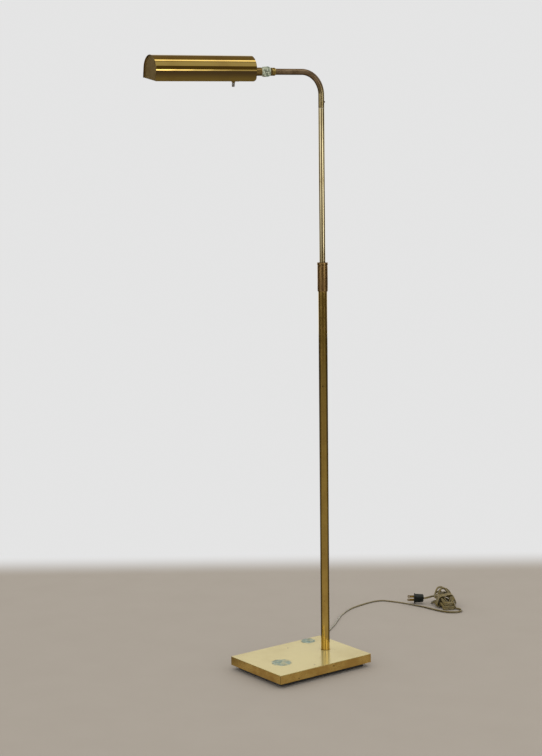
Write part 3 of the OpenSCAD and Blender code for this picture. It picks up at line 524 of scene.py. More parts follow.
# %% Model one blade and copy it
blade_long, blade_thick, blade_wide, blade_gap = 23.6, 1.5, 6.3, 12.7
blade_middle, hole_at, hole_r, tip_r = 15.2, 23.6, 1.6, 1.9
bpy.ops.object.select_all(action="DESELECT")
bpy.ops.mesh.primitive_cylinder_add(vertices=32, radius=hole_r * MM, depth=8 * MM,
                                    location=(hole_at * MM, blade_gap / 2 * MM, 0),
                                    rotation=(math.radians(90), 0, 0))
punch = begin("blade_punch")
bpy.ops.object.select_all(action="DESELECT")
bpy.ops.mesh.primitive_cube_add(size=1, location=(blade_middle * MM, blade_gap / 2 * MM, 0),
                                scale=(blade_long * MM, blade_thick * MM, blade_wide * MM))
blades = begin("plug_pins")
choose(blades, "edges", lambda e: middle(e).x > 26 * MM and abs(middle(e).z) > 3 * MM)
bpy.ops.mesh.bevel(offset=tip_r * MM, segments=5)
apply_modifier(blades, "BOOLEAN", object=punch, operation="DIFFERENCE", solver="EXACT")
bpy.data.objects.remove(punch)
bpy.ops.object.mode_set(mode="EDIT")
bpy.ops.mesh.select_all(action="SELECT")
bpy.ops.mesh.duplicate_move(TRANSFORM_OT_translate={"value": (0, -blade_gap * MM, 0)})
tidy_mesh()
round_edges(blades, 0.2, 2, 50)
settle(blades, "stand", "brass", ["plug_blades"], plug_place)

# %% [markdown]
# ## The base's brass cover
#
# The heavy foot is hidden under a cover folded from sheet brass. Folding gives soft edges round the
# top, and at each corner two folded sides meet in an upright seam that collects dirt. A cube without
# its underside is the start: its top edges are rounded, each upright corner is cut to a narrow strip
# that is pushed in as the seam, and a Solidify modifier turns the skin into sheet. The faces are
# numbered, so that the top, the sides and the seams can have their own finish.

# %% Fold the cover
cover_long, cover_wide, cover_tall, cover_x, cover_foot = 248, 178, 19, -68, 9.5
cover_high = cover_foot + cover_tall
fold_round, seam_wide, seam_lip, seam_deep, sheet = 1.3, 0.8, 0.25, 0.5, 1.2
bpy.ops.mesh.primitive_cube_add(size=1, location=(cover_x * MM, 0, (cover_foot + cover_tall / 2) * MM),
                                scale=(cover_long * MM, cover_wide * MM, cover_tall * MM))
cover = begin("base_cover")
choose(cover, "faces", lambda f: f.normal.z < -0.9)
bpy.ops.mesh.delete(type="FACE")
choose(cover, "edges", lambda e: min(v.co.z for v in e.verts) > (cover_high - 0.5) * MM)
bpy.ops.mesh.bevel(offset=fold_round * MM, segments=4)
choose(cover, "edges", lambda e: abs(e.verts[0].co.z - e.verts[1].co.z) > 10 * MM)
bpy.ops.mesh.bevel(offset=seam_wide * MM, segments=1)
choose(cover, "faces", lambda f: abs(f.normal.z) < 0.5)
tag_selected(cover, 1)
choose(cover, "faces", lambda f: abs(f.normal.z) < 0.1 and min(abs(f.normal.x), abs(f.normal.y)) > 0.5)
bpy.ops.mesh.inset(thickness=seam_lip * MM, use_boundary=False)
bpy.ops.mesh.extrude_faces_move(TRANSFORM_OT_shrink_fatten={"value": -seam_deep * MM})
tag_selected(cover, 2)
choose(cover, "faces", lambda f: abs(f.normal.z) > 0.5
       and f.calc_center_median().z < (cover_foot + 0.5) * MM)
bpy.ops.mesh.delete(type="FACE")
apply_modifier(cover, "SOLIDIFY", thickness=sheet * MM, offset=-1)
round_edges(cover, 0.2, 2, 50)
settle(cover, "stand", "pale_brass", ["base_shell"], base_spin)

# %% [markdown]
# ## Rings and collar
#
# The pole stands on a thin ring, and the collar at its top carries a bush that grips the sliding riser.
# Both are lathe work: the collar is chamfered at its foot, has a narrow groove under its lip, and the
# lip is rounded where a hand would touch it.

# %% Turn the ring and the collar
foot_rings = [(9.2, 0), (10.4, 0), (10.72, 0.3), (10.72, 0.8), (10.3, 1.2), (9.2, 1.2), (9.2, 0)]
foot = turned("pole_foot", raised(cover_high, foot_rings))
round_edges(foot, 0.12, 2)
settle(foot, "stand", "brass", ["foot_ring"])
collar_foot, sleeve_long = 818, 56
sleeve_rings = [(9.6, 0), (10.1, 0), (11.07, 1.6), (11.07, 54), (10.55, 54.4), (10.55, sleeve_long),
                (9.6, sleeve_long), (9.6, 0)]
sleeve = turned("collar_body", raised(collar_foot, sleeve_rings))
round_edges(sleeve, 0.2, 3, 20)
settle(sleeve, "stand", "brass", ["collar_sleeve"])
lip_rings = [(6.75, 0), (10.9, 0), (11.47, 0.6), (11.47, 5), (10.9, 6), (7.2, 6), (6.75, 5.5), (6.75, 0)]
lip = turned("collar_lip", raised(collar_foot + sleeve_long, lip_rings))
round_edges(lip, 0.3, 3, 20)
settle(lip, "stand", "brass", ["collar_ring"])

# %% [markdown]
# ## The bent arm
#
# The arm is one tube, bent a quarter turn over a former. That is what Spin is for: a circle is extruded
# up to the start of the bend, spun round the bend's centre, and extruded on towards the shade. Solidify
# gives the tube its wall.

# %% Bend the arm
tube_r, tube_wall, arm_foot, bend_r, arm_reach = 6.35, 1.0, 1205.1, 47, 74.6
bend_start = arm_height - bend_r
bpy.ops.mesh.primitive_circle_add(vertices=64, radius=tube_r * MM)
arm = begin("bent_arm")
choose(arm, "edges", lambda e: True)
bpy.ops.transform.translate(value=(0, 0, arm_foot * MM))
bpy.ops.mesh.extrude_region_move(TRANSFORM_OT_translate={"value": (0, 0, (bend_start - arm_foot) * MM)})
bpy.ops.mesh.spin(steps=32, angle=math.radians(90), center=(-bend_r * MM, 0, bend_start * MM),
                  axis=(0, 1, 0))
bpy.ops.mesh.extrude_region_move(TRANSFORM_OT_translate={"value": (-arm_reach * MM, 0, 0)})
tidy_mesh()
apply_modifier(arm, "SOLIDIFY", thickness=tube_wall * MM, offset=-1)
round_edges(arm, 0.25, 2, 50)
settle(arm, "arm", "bronze", ["arm_tube"])

# %% Turn the beaded ferrule
ferrule_at = 112.6
ferrule_rings = [(6.42, 0), (7.5, 0), (8.35, 0.8), (8.4, 3), (7.5, 4), (7.4, 4.8), (8.3, 5.6), (8.4, 8),
                 (7.9, 9), (6.42, 9), (6.42, 0)]
ferrule = turned("arm_bead", raised(ferrule_at, ferrule_rings))
round_edges(ferrule, 0.35, 3, 20)
settle(ferrule, "arm", "brass", ["arm_ferrule"], along_arm)

# %% [markdown]
# ## Cast and machined pieces
#
# The knuckle, its screw and the pieces round the socket have the right shape in the CAD, but their
# edges are perfectly sharp, and nothing real is. A copy of each solid is welded, its flat triangles are
# dissolved back into whole faces, and a small bevel gives every edge the thin bright line that a
# polished edge shows.

# %% Soften copies of the CAD pieces
slots = {part["node"]: part["material_slot"] for part in frame["record"]["subparts"]}


def softened(name, node, body, width, segments=3):
    bpy.ops.object.select_all(action="DESELECT")
    piece = bpy.data.objects.new(name, frame["nodes"][node].data.copy())
    bpy.context.scene.collection.objects.link(piece)
    piece.data.materials.clear()
    bpy.context.view_layer.objects.active = piece
    piece.select_set(True)
    bpy.ops.mesh.customdata_custom_splitnormals_clear()
    bpy.ops.object.mode_set(mode="EDIT")
    bpy.ops.mesh.select_all(action="SELECT")
    bpy.ops.mesh.remove_doubles(threshold=5e-6)
    bpy.ops.mesh.dissolve_limited(angle_limit=math.radians(1))
    round_edges(piece, width, segments)
    return settle(piece, body, slots[node], [node])


softened("knuckle_fixed", "knuckle_arm", "arm", 0.6)
softened("knuckle_turning", "knuckle_head", "head", 0.6)
softened("pivot_screw", "knuckle_screw", "arm", 0.18, 2)
softened("pivot_nut", "knuckle_nut", "arm", 0.3)
softened("swing_grub", "swing_screw", "arm", 0.3)
softened("neck_spacer", "shade_spacer", "shade", 0.4)
softened("shade_front", "shade_front_cap", "shade", 0.25)
softened("shade_back", "shade_rear_cap", "shade", 0.25)
softened("lamp_holder", "socket_body", "shade", 0.35)
softened("lamp_holder_cap", "socket_cap", "shade", 0.3)
softened("switch_box", "switch_housing", "shade", 0.6)

# %% [markdown]
# ## The trough shade
#
# The shade is a strip of sheet brass rolled into a half round, with straight sides that hang down from
# it. It begins as an open cylinder lying on its side: Bisect cuts away the lower half, the two long
# edges are extruded down, and the two rear corners are rounded by a bevel on their points. Solidify
# turns it into sheet, inwards, so the outside keeps its size.

# %% Roll the shade
shade_r, shade_long, shade_x, shade_axis, shade_sheet = 28.5, 229, -284.9, 4, 0.9
side_drops, corner_r = (1.4, 19), 8
shade_low, shade_rear = shade_axis - sum(side_drops), shade_x + shade_long / 2
bpy.ops.mesh.primitive_cylinder_add(vertices=128, radius=shade_r * MM, depth=shade_long * MM,
                                    end_fill_type="NOTHING", location=(shade_x * MM, 0, shade_axis * MM),
                                    rotation=(0, math.radians(90), 0))
shade = begin("shade_trough")
bpy.ops.object.mode_set(mode="EDIT")
bpy.ops.mesh.select_all(action="SELECT")
bpy.ops.mesh.bisect(plane_co=(0, 0, shade_axis * MM), plane_no=(0, 0, 1), clear_inner=True)
choose(shade, "edges", lambda e: max(v.co.z for v in e.verts) < (shade_axis + 0.01) * MM)
for drop in side_drops:
    bpy.ops.mesh.extrude_region_move(TRANSFORM_OT_translate={"value": (0, 0, -drop * MM)})
choose(shade, "verts", lambda v: v.co.z < (shade_low + 0.4) * MM and v.co.x > (shade_rear - 0.6) * MM)
bpy.ops.mesh.bevel(offset=corner_r * MM, segments=10, affect="VERTICES")
tidy_mesh()
apply_modifier(shade, "SOLIDIFY", thickness=shade_sheet * MM, offset=-1)
round_edges(shade, 0.2, 2, 50)
settle(shade, "shade", "brass", ["shade_shell"], in_shade, 40)

# %% [markdown]
# ## The switch knob
#
# A small knob under the shade turns the lamp on. It is a short cylinder with a rounded end, and flutes
# for the fingertips: every second face of its side is inset and pushed in.

# %% Flute the knob
knob_sides, knob_r, knob_long, knob_top, knob_x = 36, 3, 8.6, 22.35, -208.1
knob_end = knob_top + knob_long
bpy.ops.mesh.primitive_cylinder_add(vertices=knob_sides, radius=knob_r * MM, depth=knob_long * MM,
                                    location=(0, 0, (knob_top + knob_end) / 2 * MM))
knob = begin("switch_thumb")
choose(knob, "edges", lambda e: min(v.co.z for v in e.verts) > (knob_end - 0.5) * MM)
bpy.ops.mesh.bevel(offset=0.9 * MM, segments=4)
choose(knob, "edges", lambda e: max(v.co.z for v in e.verts) < (knob_top + 0.5) * MM)
bpy.ops.mesh.bevel(offset=0.4 * MM, segments=2)
choose(knob, "faces", lambda f: abs(f.normal.z) < 0.05
       and int(math.degrees(math.atan2(f.normal.y, f.normal.x)) // (360 / knob_sides)) % 2 == 0)
bpy.ops.mesh.inset(thickness=0.05 * MM, use_individual=True)
bpy.ops.mesh.extrude_faces_move(TRANSFORM_OT_shrink_fatten={"value": -0.28 * MM})
tidy_mesh()
knob_place = in_shade @ Matrix.Translation((knob_x * MM, 0, 0)) @ Matrix.Rotation(math.pi, 4, "X")
settle(knob, "switch", "brass", ["switch_knob"], knob_place)

# %% [markdown]
# ## Tools for materials
#
# A material is a small machine of nodes. Helpers keep its wiring short: `add` places a node and feeds
# its sockets, `mixed` goes from one colour to another by a mask, `between` turns a range of values into
# a soft step, and `new_effect` opens a node group. An effect that several finishes share, such as
# tarnish or polishing lines, is built once as a group and placed in each finish with its own values.

# %% Helpers for nodes
def feed(tree, source, socket):
    if isinstance(source, bpy.types.NodeSocket):
        tree.links.new(source, socket)
    else:
        socket.default_value = source


def add(tree, kind, inputs=None, **traits):
    node = tree.nodes.new("ShaderNode" + kind)
    for trait, value in traits.items():
        setattr(node, trait, value)
    for socket, source in (inputs or {}).items():
        feed(tree, source, node.inputs[socket])
    return node


def sums(tree, operation, first, second, clamp=False):
    return add(tree, "Math", {0: first, 1: second}, operation=operation, use_clamp=clamp).outputs[0]


def mixed(tree, mask, first, second):
    first, second = [c if isinstance(c, bpy.types.NodeSocket) else (*c, 1) for c in (first, second)]
    return add(tree, "Mix", {0: mask, 6: first, 7: second}, data_type="RGBA").outputs[2]


def between(tree, value, low, high, to_low=0.0, to_high=1.0):
    span = {"Value": value, "From Min": low, "From Max": high, "To Min": to_low, "To Max": to_high}
    return add(tree, "MapRange", span, interpolation_type="SMOOTHSTEP").outputs["Result"]


def new_effect(name, inputs, outputs):
    tree = bpy.data.node_groups.new(name, "ShaderNodeTree")
    for socket, kind, value in inputs:
        made = tree.interface.new_socket(name=socket, in_out="INPUT", socket_type="NodeSocket" + kind)
        if value is not None:
            made.default_value = value
    for socket, kind in outputs:
        tree.interface.new_socket(name=socket, in_out="OUTPUT", socket_type="NodeSocket" + kind)
    return tree, tree.nodes.new("NodeGroupInput").outputs, tree.nodes.new("NodeGroupOutput").inputs


def effect(tree, group, inputs):
    node = tree.nodes.new("ShaderNodeGroup")
    node.node_tree = group
    for socket, source in inputs.items():
        feed(tree, source, node.inputs[socket])
    return node.outputs


def blank_finish(name):
    finish = bpy.data.materials.new(name)
    finish.use_nodes = True
    tree = finish.node_tree
    return finish, tree, tree.nodes["Principled BSDF"].inputs


# %% [markdown]
# ## Effects that brass shares
#
# Lacquered brass ages in three ways. The lacquer clouds in broad patches where air and hands got under
# it, polishing leaves fine lines along the metal, and single dark specks appear where a pinhole let
# moisture in. Each is a group that reads the piece's own coordinates, so the pattern stays on the metal
# when the lamp moves. Two more groups follow: one measures how shut in each corner is, which the finishes
# use for painted shade and for duller gloss there, and one draws a ragged stain.

# %% Build the shared effects
tarnish, into, out = new_effect(
    "clouded_lacquer",
    [("Vector", "Vector", None), ("Scale", "Float", 20.0), ("Low", "Float", 0.4),
     ("High", "Float", 0.7)],
    [("Mask", "Float")],
)
cloud = add(tarnish, "TexNoise", {"Vector": into["Vector"], "Scale": into["Scale"], "Detail": 6.0,
                                  "Roughness": 0.62})
feed(tarnish, between(tarnish, cloud.outputs["Fac"], into["Low"], into["High"]), out["Mask"])

drawn_lines, into, out = new_effect(
    "polishing_lines",
    [("Vector", "Vector", None), ("Stretch", "Vector", (1.0, 1.0, 1.0))],
    [("Lines", "Float")],
)
pulled = add(drawn_lines, "VectorMath", {0: into["Vector"], 1: into["Stretch"]}, operation="MULTIPLY")
grain = add(drawn_lines, "TexNoise", {"Vector": pulled.outputs[0], "Scale": 1.0, "Detail": 4.0,
                                      "Roughness": 0.7})
feed(drawn_lines, between(drawn_lines, grain.outputs["Fac"], 0.3, 0.7), out["Lines"])

specks, into, out = new_effect(
    "tarnish_specks",
    [("Vector", "Vector", None), ("Scale", "Float", 150.0), ("Size", "Float", 0.3),
     ("Share", "Float", 0.1)],
    [("Mask", "Float")],
)
cells = add(specks, "TexVoronoi", {"Vector": into["Vector"], "Scale": into["Scale"], "Randomness": 1.0})
pick = add(specks, "SeparateColor", {"Color": cells.outputs["Color"]})
size = sums(specks, "MULTIPLY", into["Size"], pick.outputs["Green"])
dot = sums(specks, "LESS_THAN", cells.outputs["Distance"], size)
chosen = sums(specks, "LESS_THAN", pick.outputs["Red"], into["Share"])
feed(specks, sums(specks, "MULTIPLY", dot, chosen), out["Mask"])

# An occlusion mask for corners: the finishes use it for painted shade and for duller gloss there
shade_and_grime, into, out = new_effect("corner_shade_and_grime", [("Distance", "Float", 0.004)], [("Mask", "Float")])
shut = add(shade_and_grime, "AmbientOcclusion", {"Distance": into["Distance"]}, samples=6)
feed(shade_and_grime, between(shade_and_grime, shut.outputs["AO"], 0.95, 0.45), out["Mask"])

stain, into, out = new_effect(
    "round_stain",
    [("Vector", "Vector", None), ("Centre", "Vector", (0.0, 0.0, 0.0)), ("Radius", "Float", 0.02)],
    [("Mask", "Float"), ("Depth", "Float")],
)
away = add(stain, "VectorMath", {0: into["Vector"], 1: into["Centre"]}, operation="DISTANCE")
ragged = add(stain, "TexNoise", {"Vector": into["Vector"], "Scale": 320.0, "Detail": 5.0, "Roughness": 0.7})
reach = sums(stain, "DIVIDE", away.outputs["Value"], into["Radius"])
reach = sums(stain, "ADD", reach, between(stain, ragged.outputs["Fac"], 0.3, 0.7, -0.16, 0.16))
feed(stain, between(stain, reach, 1.0, 0.88), out["Mask"])
feed(stain, between(stain, reach, 0.94, 0.78), out["Depth"])
print(len(bpy.data.node_groups), "shared effects")

# %% [markdown]
# ## The brasses
#
# One recipe makes all the polished and aged brasses: a clean and an aged colour in patches, lines in
# the gloss along the way the metal was drawn, dark specks, and painted shade with duller gloss in the
# corners. What differs is how much of each a piece has. The values on the shader that are the same all
# over are set on the shader itself.
#
# The shade has two things more. A mask by height paints a brown band of shade just under the bend,
# which fades out towards the lower edge, and a clear coat over it gives its highlights their pale colour.
# The knob is the one piece of nickel.

# %% A recipe for worn metal
def worn_metal(name, clean, aged, patch, stretch, gloss, speck=0.05, corner_shade=0.75):
    """patch: scale, low and high of the aged patches; gloss: roughness, polished and dull; the last: how
    dark the painted shade in the corners is.
    """
    speck_and_shade_dark = (0.03, 0.02, 0.01)
    finish, tree, shader = blank_finish(name)
    place = add(tree, "TexCoord").outputs["Object"]
    scale, low, high = patch
    patches = effect(tree, tarnish, {"Vector": place, "Scale": scale, "Low": low, "High": high})["Mask"]
    lines = effect(tree, drawn_lines, {"Vector": place, "Stretch": stretch})["Lines"]
    dots = effect(tree, specks, {"Vector": place, "Scale": 160.0, "Size": 0.28, "Share": speck})["Mask"]
    corners = effect(tree, shade_and_grime, {"Distance": 0.003})["Mask"]
    colour = mixed(tree, patches, clean, aged)
    shade_of = [c * 0.72 for c in aged]
    colour = mixed(tree, sums(tree, "MULTIPLY", lines, 0.3), colour, shade_of)
    colour = mixed(tree, sums(tree, "MULTIPLY", dots, 0.8), colour, speck_and_shade_dark)
    # Painted shade: the colour goes dark where the corners are shut in
    colour = mixed(tree, sums(tree, "MULTIPLY", corners, corner_shade), colour, speck_and_shade_dark)
    feed(tree, colour, shader["Base Color"])
    dull = sums(tree, "ADD", sums(tree, "MULTIPLY", patches, 0.55), sums(tree, "MULTIPLY", lines, 0.45))
    dull = sums(tree, "ADD", dull, sums(tree, "MULTIPLY", corners, 0.6), clamp=True)
    feed(tree, between(tree, dull, 0.0, 1.0, gloss[0], gloss[1]), shader["Roughness"])
    shader["Metallic"].default_value = 1.0
    return finish


finishes = {
    "brass": worn_metal("polished_brass", (0.78, 0.58, 0.18), (0.58, 0.40, 0.115),
                        (24, 0.42, 0.68), (900, 900, 60), (0.10, 0.30)),
    "aged_brass": worn_metal("dulled_brass", (0.62, 0.44, 0.155), (0.49, 0.34, 0.115),
                             (55, 0.35, 0.7), (300, 300, 300), (0.34, 0.52)),
    "pale_brass": worn_metal("light_brass", (0.94, 0.80, 0.47), (0.80, 0.64, 0.33),
                             (30, 0.45, 0.75), (350, 350, 20), (0.06, 0.16)),
    "bronze": worn_metal("brown_brass", (0.46, 0.33, 0.195), (0.31, 0.215, 0.12),
                         (26, 0.35, 0.7), (300, 300, 100), (0.24, 0.46)),
    "steel": worn_metal("zinc_plate", (0.52, 0.52, 0.50), (0.36, 0.35, 0.33),
                        (60, 0.4, 0.7), (500, 500, 500), (0.25, 0.45)),
    "bulb_metal": worn_metal("bulb_screw_cap", (0.62, 0.60, 0.55), (0.45, 0.43, 0.38),
                             (70, 0.45, 0.7), (900, 300, 300), (0.18, 0.35)),
}
pole_brass = worn_metal("pole_brass", (0.88, 0.62, 0.165), (0.68, 0.455, 0.12),
                        (16, 0.36, 0.66), (350, 350, 12), (0.08, 0.20), corner_shade=0.2)
collar_brass = worn_metal("collar_brass", (0.56, 0.355, 0.135), (0.38, 0.225, 0.085),
                          (38, 0.36, 0.66), (350, 350, 40), (0.20, 0.40))
shade_brass = worn_metal("shade_brass", (0.83, 0.56, 0.085), (0.68, 0.425, 0.05),
                         (13, 0.4, 0.7), (14, 500, 500), (0.015, 0.05), speck=0.0)
knob_nickel = worn_metal("knob_nickel", (0.92, 0.90, 0.85), (0.78, 0.76, 0.70),
                         (60, 0.4, 0.7), (300, 300, 300), (0.12, 0.28), speck=0.0, corner_shade=0.3)
print("brasses", [m.name for m in finishes.values()])

# %% Painted shade under the bend and clear coat on the shade
shade_band_low, shade_band_full, shade_band_end, shade_band_top = 1.262, 1.277, 1.279, 1.281
tree = shade_brass.node_tree
shader = tree.nodes["Principled BSDF"].inputs
height = add(tree, "SeparateXYZ", {"Vector": add(tree, "TexCoord").outputs["Object"]}).outputs["Z"]
# A band of painted shade just under the bend, fading out towards the lower edge
bend_shade_mask = sums(tree, "MULTIPLY", between(tree, height, shade_band_low, shade_band_full),
            between(tree, height, shade_band_top, shade_band_end))
golden = shader["Base Color"].links[0].from_socket
bend_shaded = mixed(tree, sums(tree, "MULTIPLY", bend_shade_mask, 0.8), golden, (0.24, 0.125, 0.022))
feed(tree, bend_shaded, shader["Base Color"])
shader["Coat Weight"].default_value = 1.0
shader["Coat IOR"].default_value = 1.8
shader["Coat Roughness"].default_value = 0.04
print("shade finish has", len(tree.nodes), "nodes")

# %% [markdown]
# ## The base's top, sides and seams
#
# The cover's top is the best-kept brass of the lamp, almost cream where it mirrors the room, but two
# wet things stood on it for years and left blue-green stains. Its lacquer has gone hazy, so the shader
# is only partly metallic. The stain group gives a ragged disc at a given place, and two discs that
# overlap make each stain. Inside them the metal has turned to a dull green salt, and the shader loses
# most of its metal.

# %% The top with its two stains
cover_top, tree, shader = blank_finish("cover_top")
place = add(tree, "TexCoord").outputs["Object"]
patches = effect(tree, tarnish, {"Vector": place, "Scale": 9.0, "Low": 0.4, "High": 0.72})["Mask"]
lines = effect(tree, drawn_lines, {"Vector": place, "Stretch": (12.0, 900.0, 900.0)})["Lines"]
dots = effect(tree, specks, {"Vector": place, "Scale": 75.0, "Size": 0.2, "Share": 0.07})["Mask"]
colour = mixed(tree, patches, (0.675, 0.56, 0.225), (0.60, 0.48, 0.18))
colour = mixed(tree, sums(tree, "MULTIPLY", lines, 0.16), colour, (0.55, 0.42, 0.18))
colour = mixed(tree, dots, colour, (0.09, 0.06, 0.03))
stain_spots = (
    (-0.132, -0.035, 0.0215), (-0.130, -0.031, 0.0215),
    (-0.0022, 0.0698, 0.0165), (0.0006, 0.0746, 0.0165),
)
covered = inner = 0.0
for x, y, radius in stain_spots:
    spot = effect(tree, stain, {"Vector": place, "Centre": (x, y, cover_high * MM), "Radius": radius})
    covered = sums(tree, "MAXIMUM", spot["Mask"], covered)
    inner = sums(tree, "MAXIMUM", spot["Depth"], inner)
salts = add(tree, "TexNoise", {"Vector": place, "Scale": 170.0, "Detail": 4.0, "Roughness": 0.65})
islands = between(tree, salts.outputs["Fac"], 0.36, 0.62)
lost = add(tree, "TexNoise", {"Vector": place, "Scale": 60.0, "Detail": 4.0, "Roughness": 0.6})
left_on = between(tree, lost.outputs["Fac"], 0.48, 0.60, 1.0, 0.5)
stained = sums(tree, "MULTIPLY", covered, left_on)
green = mixed(tree, islands, (0.13, 0.225, 0.195), (0.42, 0.49, 0.40))
rim = sums(tree, "MAXIMUM", inner, between(tree, lost.outputs["Fac"], 0.40, 0.52))
green = mixed(tree, rim, (0.10, 0.105, 0.065), green)
feed(tree, mixed(tree, stained, colour, green), shader["Base Color"])
feed(tree, between(tree, stained, 0.0, 1.0, 0.45, 0.1), shader["Metallic"])
hazy = sums(tree, "ADD", patches, sums(tree, "MULTIPLY", lines, 0.6))
polish = between(tree, hazy, 0.0, 1.6, 0.15, 0.26)
dull = between(tree, stained, 0.0, 1.0, 0.0, 0.5)
feed(tree, sums(tree, "ADD", polish, dull), shader["Roughness"])
crusted = sums(tree, "MULTIPLY", stained, salts.outputs["Fac"])
crust = add(tree, "Bump", {"Height": crusted, "Strength": 0.35, "Distance": 0.0004})
feed(tree, crust.outputs["Normal"], shader["Normal"])
print("top has", len(stain_spots), "discs of stain")

# %% Sides and seams
cover_side = worn_metal("cover_side", (0.86, 0.595, 0.18), (0.68, 0.42, 0.115),
                        (34, 0.36, 0.66), (40, 40, 1500), (0.22, 0.42), speck=0.06)
cover_seam = worn_metal("cover_seam", (0.12, 0.075, 0.03), (0.05, 0.03, 0.015),
                        (60, 0.3, 0.6), (300, 300, 300), (0.5, 0.7))
print("base finishes", cover_top.name, cover_side.name, cover_seam.name)

# %% [markdown]
# ## Patina on the knuckle
#
# The cast knuckle and its screw have gone green, except where they are rubbed: the necks on both sides
# are still brass. The patina is dry and chalky, in light and dark patches, and painted shade makes it
# almost black in the corners.
# The mask fades to brass by the distance from the pivot along the arm.

# %% Green patina
patina, tree, shader = blank_finish("green_patina")
place = add(tree, "TexCoord").outputs["Object"]
along = add(tree, "SeparateXYZ", {"Vector": place}).outputs["X"]
crusty = effect(tree, tarnish, {"Vector": place, "Scale": 120.0, "Low": 0.40, "High": 0.60})["Mask"]
bare = effect(tree, tarnish, {"Vector": place, "Scale": 90.0, "Low": 0.60, "High": 0.70})["Mask"]
corners = effect(tree, shade_and_grime, {"Distance": 0.003})["Mask"]
pivot_x = -0.1355
from_pivot = sums(tree, "ABSOLUTE", sums(tree, "SUBTRACT", along, pivot_x), 0.0)
neck = between(tree, from_pivot, 0.0095, 0.0115)
rubbed = sums(tree, "MAXIMUM", neck, sums(tree, "MULTIPLY", bare, 0.6))
green = mixed(tree, crusty, (0.15, 0.20, 0.135), (0.62, 0.66, 0.49))
# Painted shade: the patina goes almost black where the corners are shut in
green = mixed(tree, sums(tree, "MULTIPLY", corners, 0.85), green, (0.05, 0.05, 0.03))
feed(tree, mixed(tree, rubbed, green, (0.40, 0.27, 0.09)), shader["Base Color"])
feed(tree, rubbed, shader["Metallic"])
feed(tree, between(tree, rubbed, 0.0, 1.0, 0.72, 0.28), shader["Roughness"])
chalk = add(tree, "Bump", {"Height": crusty, "Strength": 0.25, "Distance": 0.0003})
feed(tree, chalk.outputs["Normal"], shader["Normal"])
finishes["patina"] = patina
print("patina has", len(tree.nodes), "nodes")

# %% [markdown]
# ## The arm's two tones
#
# The bent arm has gone brown, but its foot is handled each time the lamp is moved, and there the brass
# shows through in streaks. A mask by height, broken up by the polishing lines, leads from one tone to
# the other.

# %% Brown arm with a rubbed foot
arm_brown, tree, shader = blank_finish("arm_brown")
place = add(tree, "TexCoord").outputs["Object"]
height = add(tree, "SeparateXYZ", {"Vector": place}).outputs["Z"]
patches = effect(tree, tarnish, {"Vector": place, "Scale": 60.0, "Low": 0.35, "High": 0.65})["Mask"]
streaks = effect(tree, drawn_lines, {"Vector": place, "Stretch": (420.0, 420.0, 60.0)})["Lines"]
corners = effect(tree, shade_and_grime, {"Distance": 0.003})["Mask"]
brown_above, rubbed_below = 1.262, 1.236
low = between(tree, height, brown_above, rubbed_below)
rubbed = sums(tree, "MULTIPLY", low, between(tree, streaks, 0.2, 0.8, 0.35, 1.0))
brown = mixed(tree, patches, (0.45, 0.32, 0.19), (0.33, 0.225, 0.125))
golden = mixed(tree, patches, (0.72, 0.60, 0.31), (0.52, 0.41, 0.18))
colour = mixed(tree, rubbed, brown, golden)
# Painted shade: the colour goes dark where the corners are shut in
corner_shading = sums(tree, "MULTIPLY", corners, 0.7)
feed(tree, mixed(tree, corner_shading, colour, (0.04, 0.03, 0.02)), shader["Base Color"])
feed(tree, between(tree, sums(tree, "ADD", patches, rubbed), 0.0, 2.0, 0.36, 0.2), shader["Roughness"])
shader["Metallic"].default_value = 1.0
print("arm finish has", len(tree.nodes), "nodes")

# %% [markdown]
# ## Cord, plug and the small parts
#
# The cord's plastic is a clear gold, and the twisted copper shows through it. Its stripes follow the UV
# map that was made with the mesh: a wave along the cord, slanted by the turn round it. A clear coat
# stands for the plastic, dust dulls it in patches, and the occlusion effect, with a longer reach, paints
# shade into the gaps between the loops. Plug, lamp holder, iron, nylon, fibre and felt share a recipe of
# two mottled tones, painted shade in the corners and a fine bump.

# %% Gold cord
finish, tree, shader = blank_finish("gold_cord")
strand = add(tree, "UVMap", uv_map="strand").outputs["UV"]
stripes_round, stripes_a_metre, full_turn = 4.0, 330.0, 6.2832
laid = add(tree, "Mapping", {"Vector": strand, "Scale": (stripes_round, stripes_a_metre, 1.0)},
           vector_type="POINT")
split = add(tree, "SeparateXYZ", {"Vector": laid.outputs["Vector"]}).outputs
slanted = sums(tree, "ADD", split["X"], split["Y"])
wave = sums(tree, "SINE", sums(tree, "MULTIPLY", slanted, full_turn), 0.0)
place = add(tree, "TexCoord").outputs["Object"]
dusty = effect(tree, tarnish, {"Vector": place, "Scale": 45.0, "Low": 0.4, "High": 0.7})["Mask"]
copper = mixed(tree, between(tree, wave, -1.0, 1.0), (0.15, 0.107, 0.034), (0.32, 0.248, 0.094))
copper = mixed(tree, sums(tree, "MULTIPLY", dusty, 0.5), copper, (0.175, 0.15, 0.085))
gap_shade = effect(tree, shade_and_grime, {"Distance": 0.006})["Mask"]
# Painted shade in the gaps between the loops, found by occlusion
copper = mixed(tree, sums(tree, "MULTIPLY", gap_shade, 0.7), copper, (0.035, 0.026, 0.010))
feed(tree, copper, shader["Base Color"])
feed(tree, between(tree, dusty, 0.0, 1.0, 0.28, 0.5), shader["Roughness"])
shader["Coat Weight"].default_value = 0.9
shader["Coat Roughness"].default_value = 0.12
finishes["gold_cord"] = finish
print("cord finish has", len(tree.nodes), "nodes")

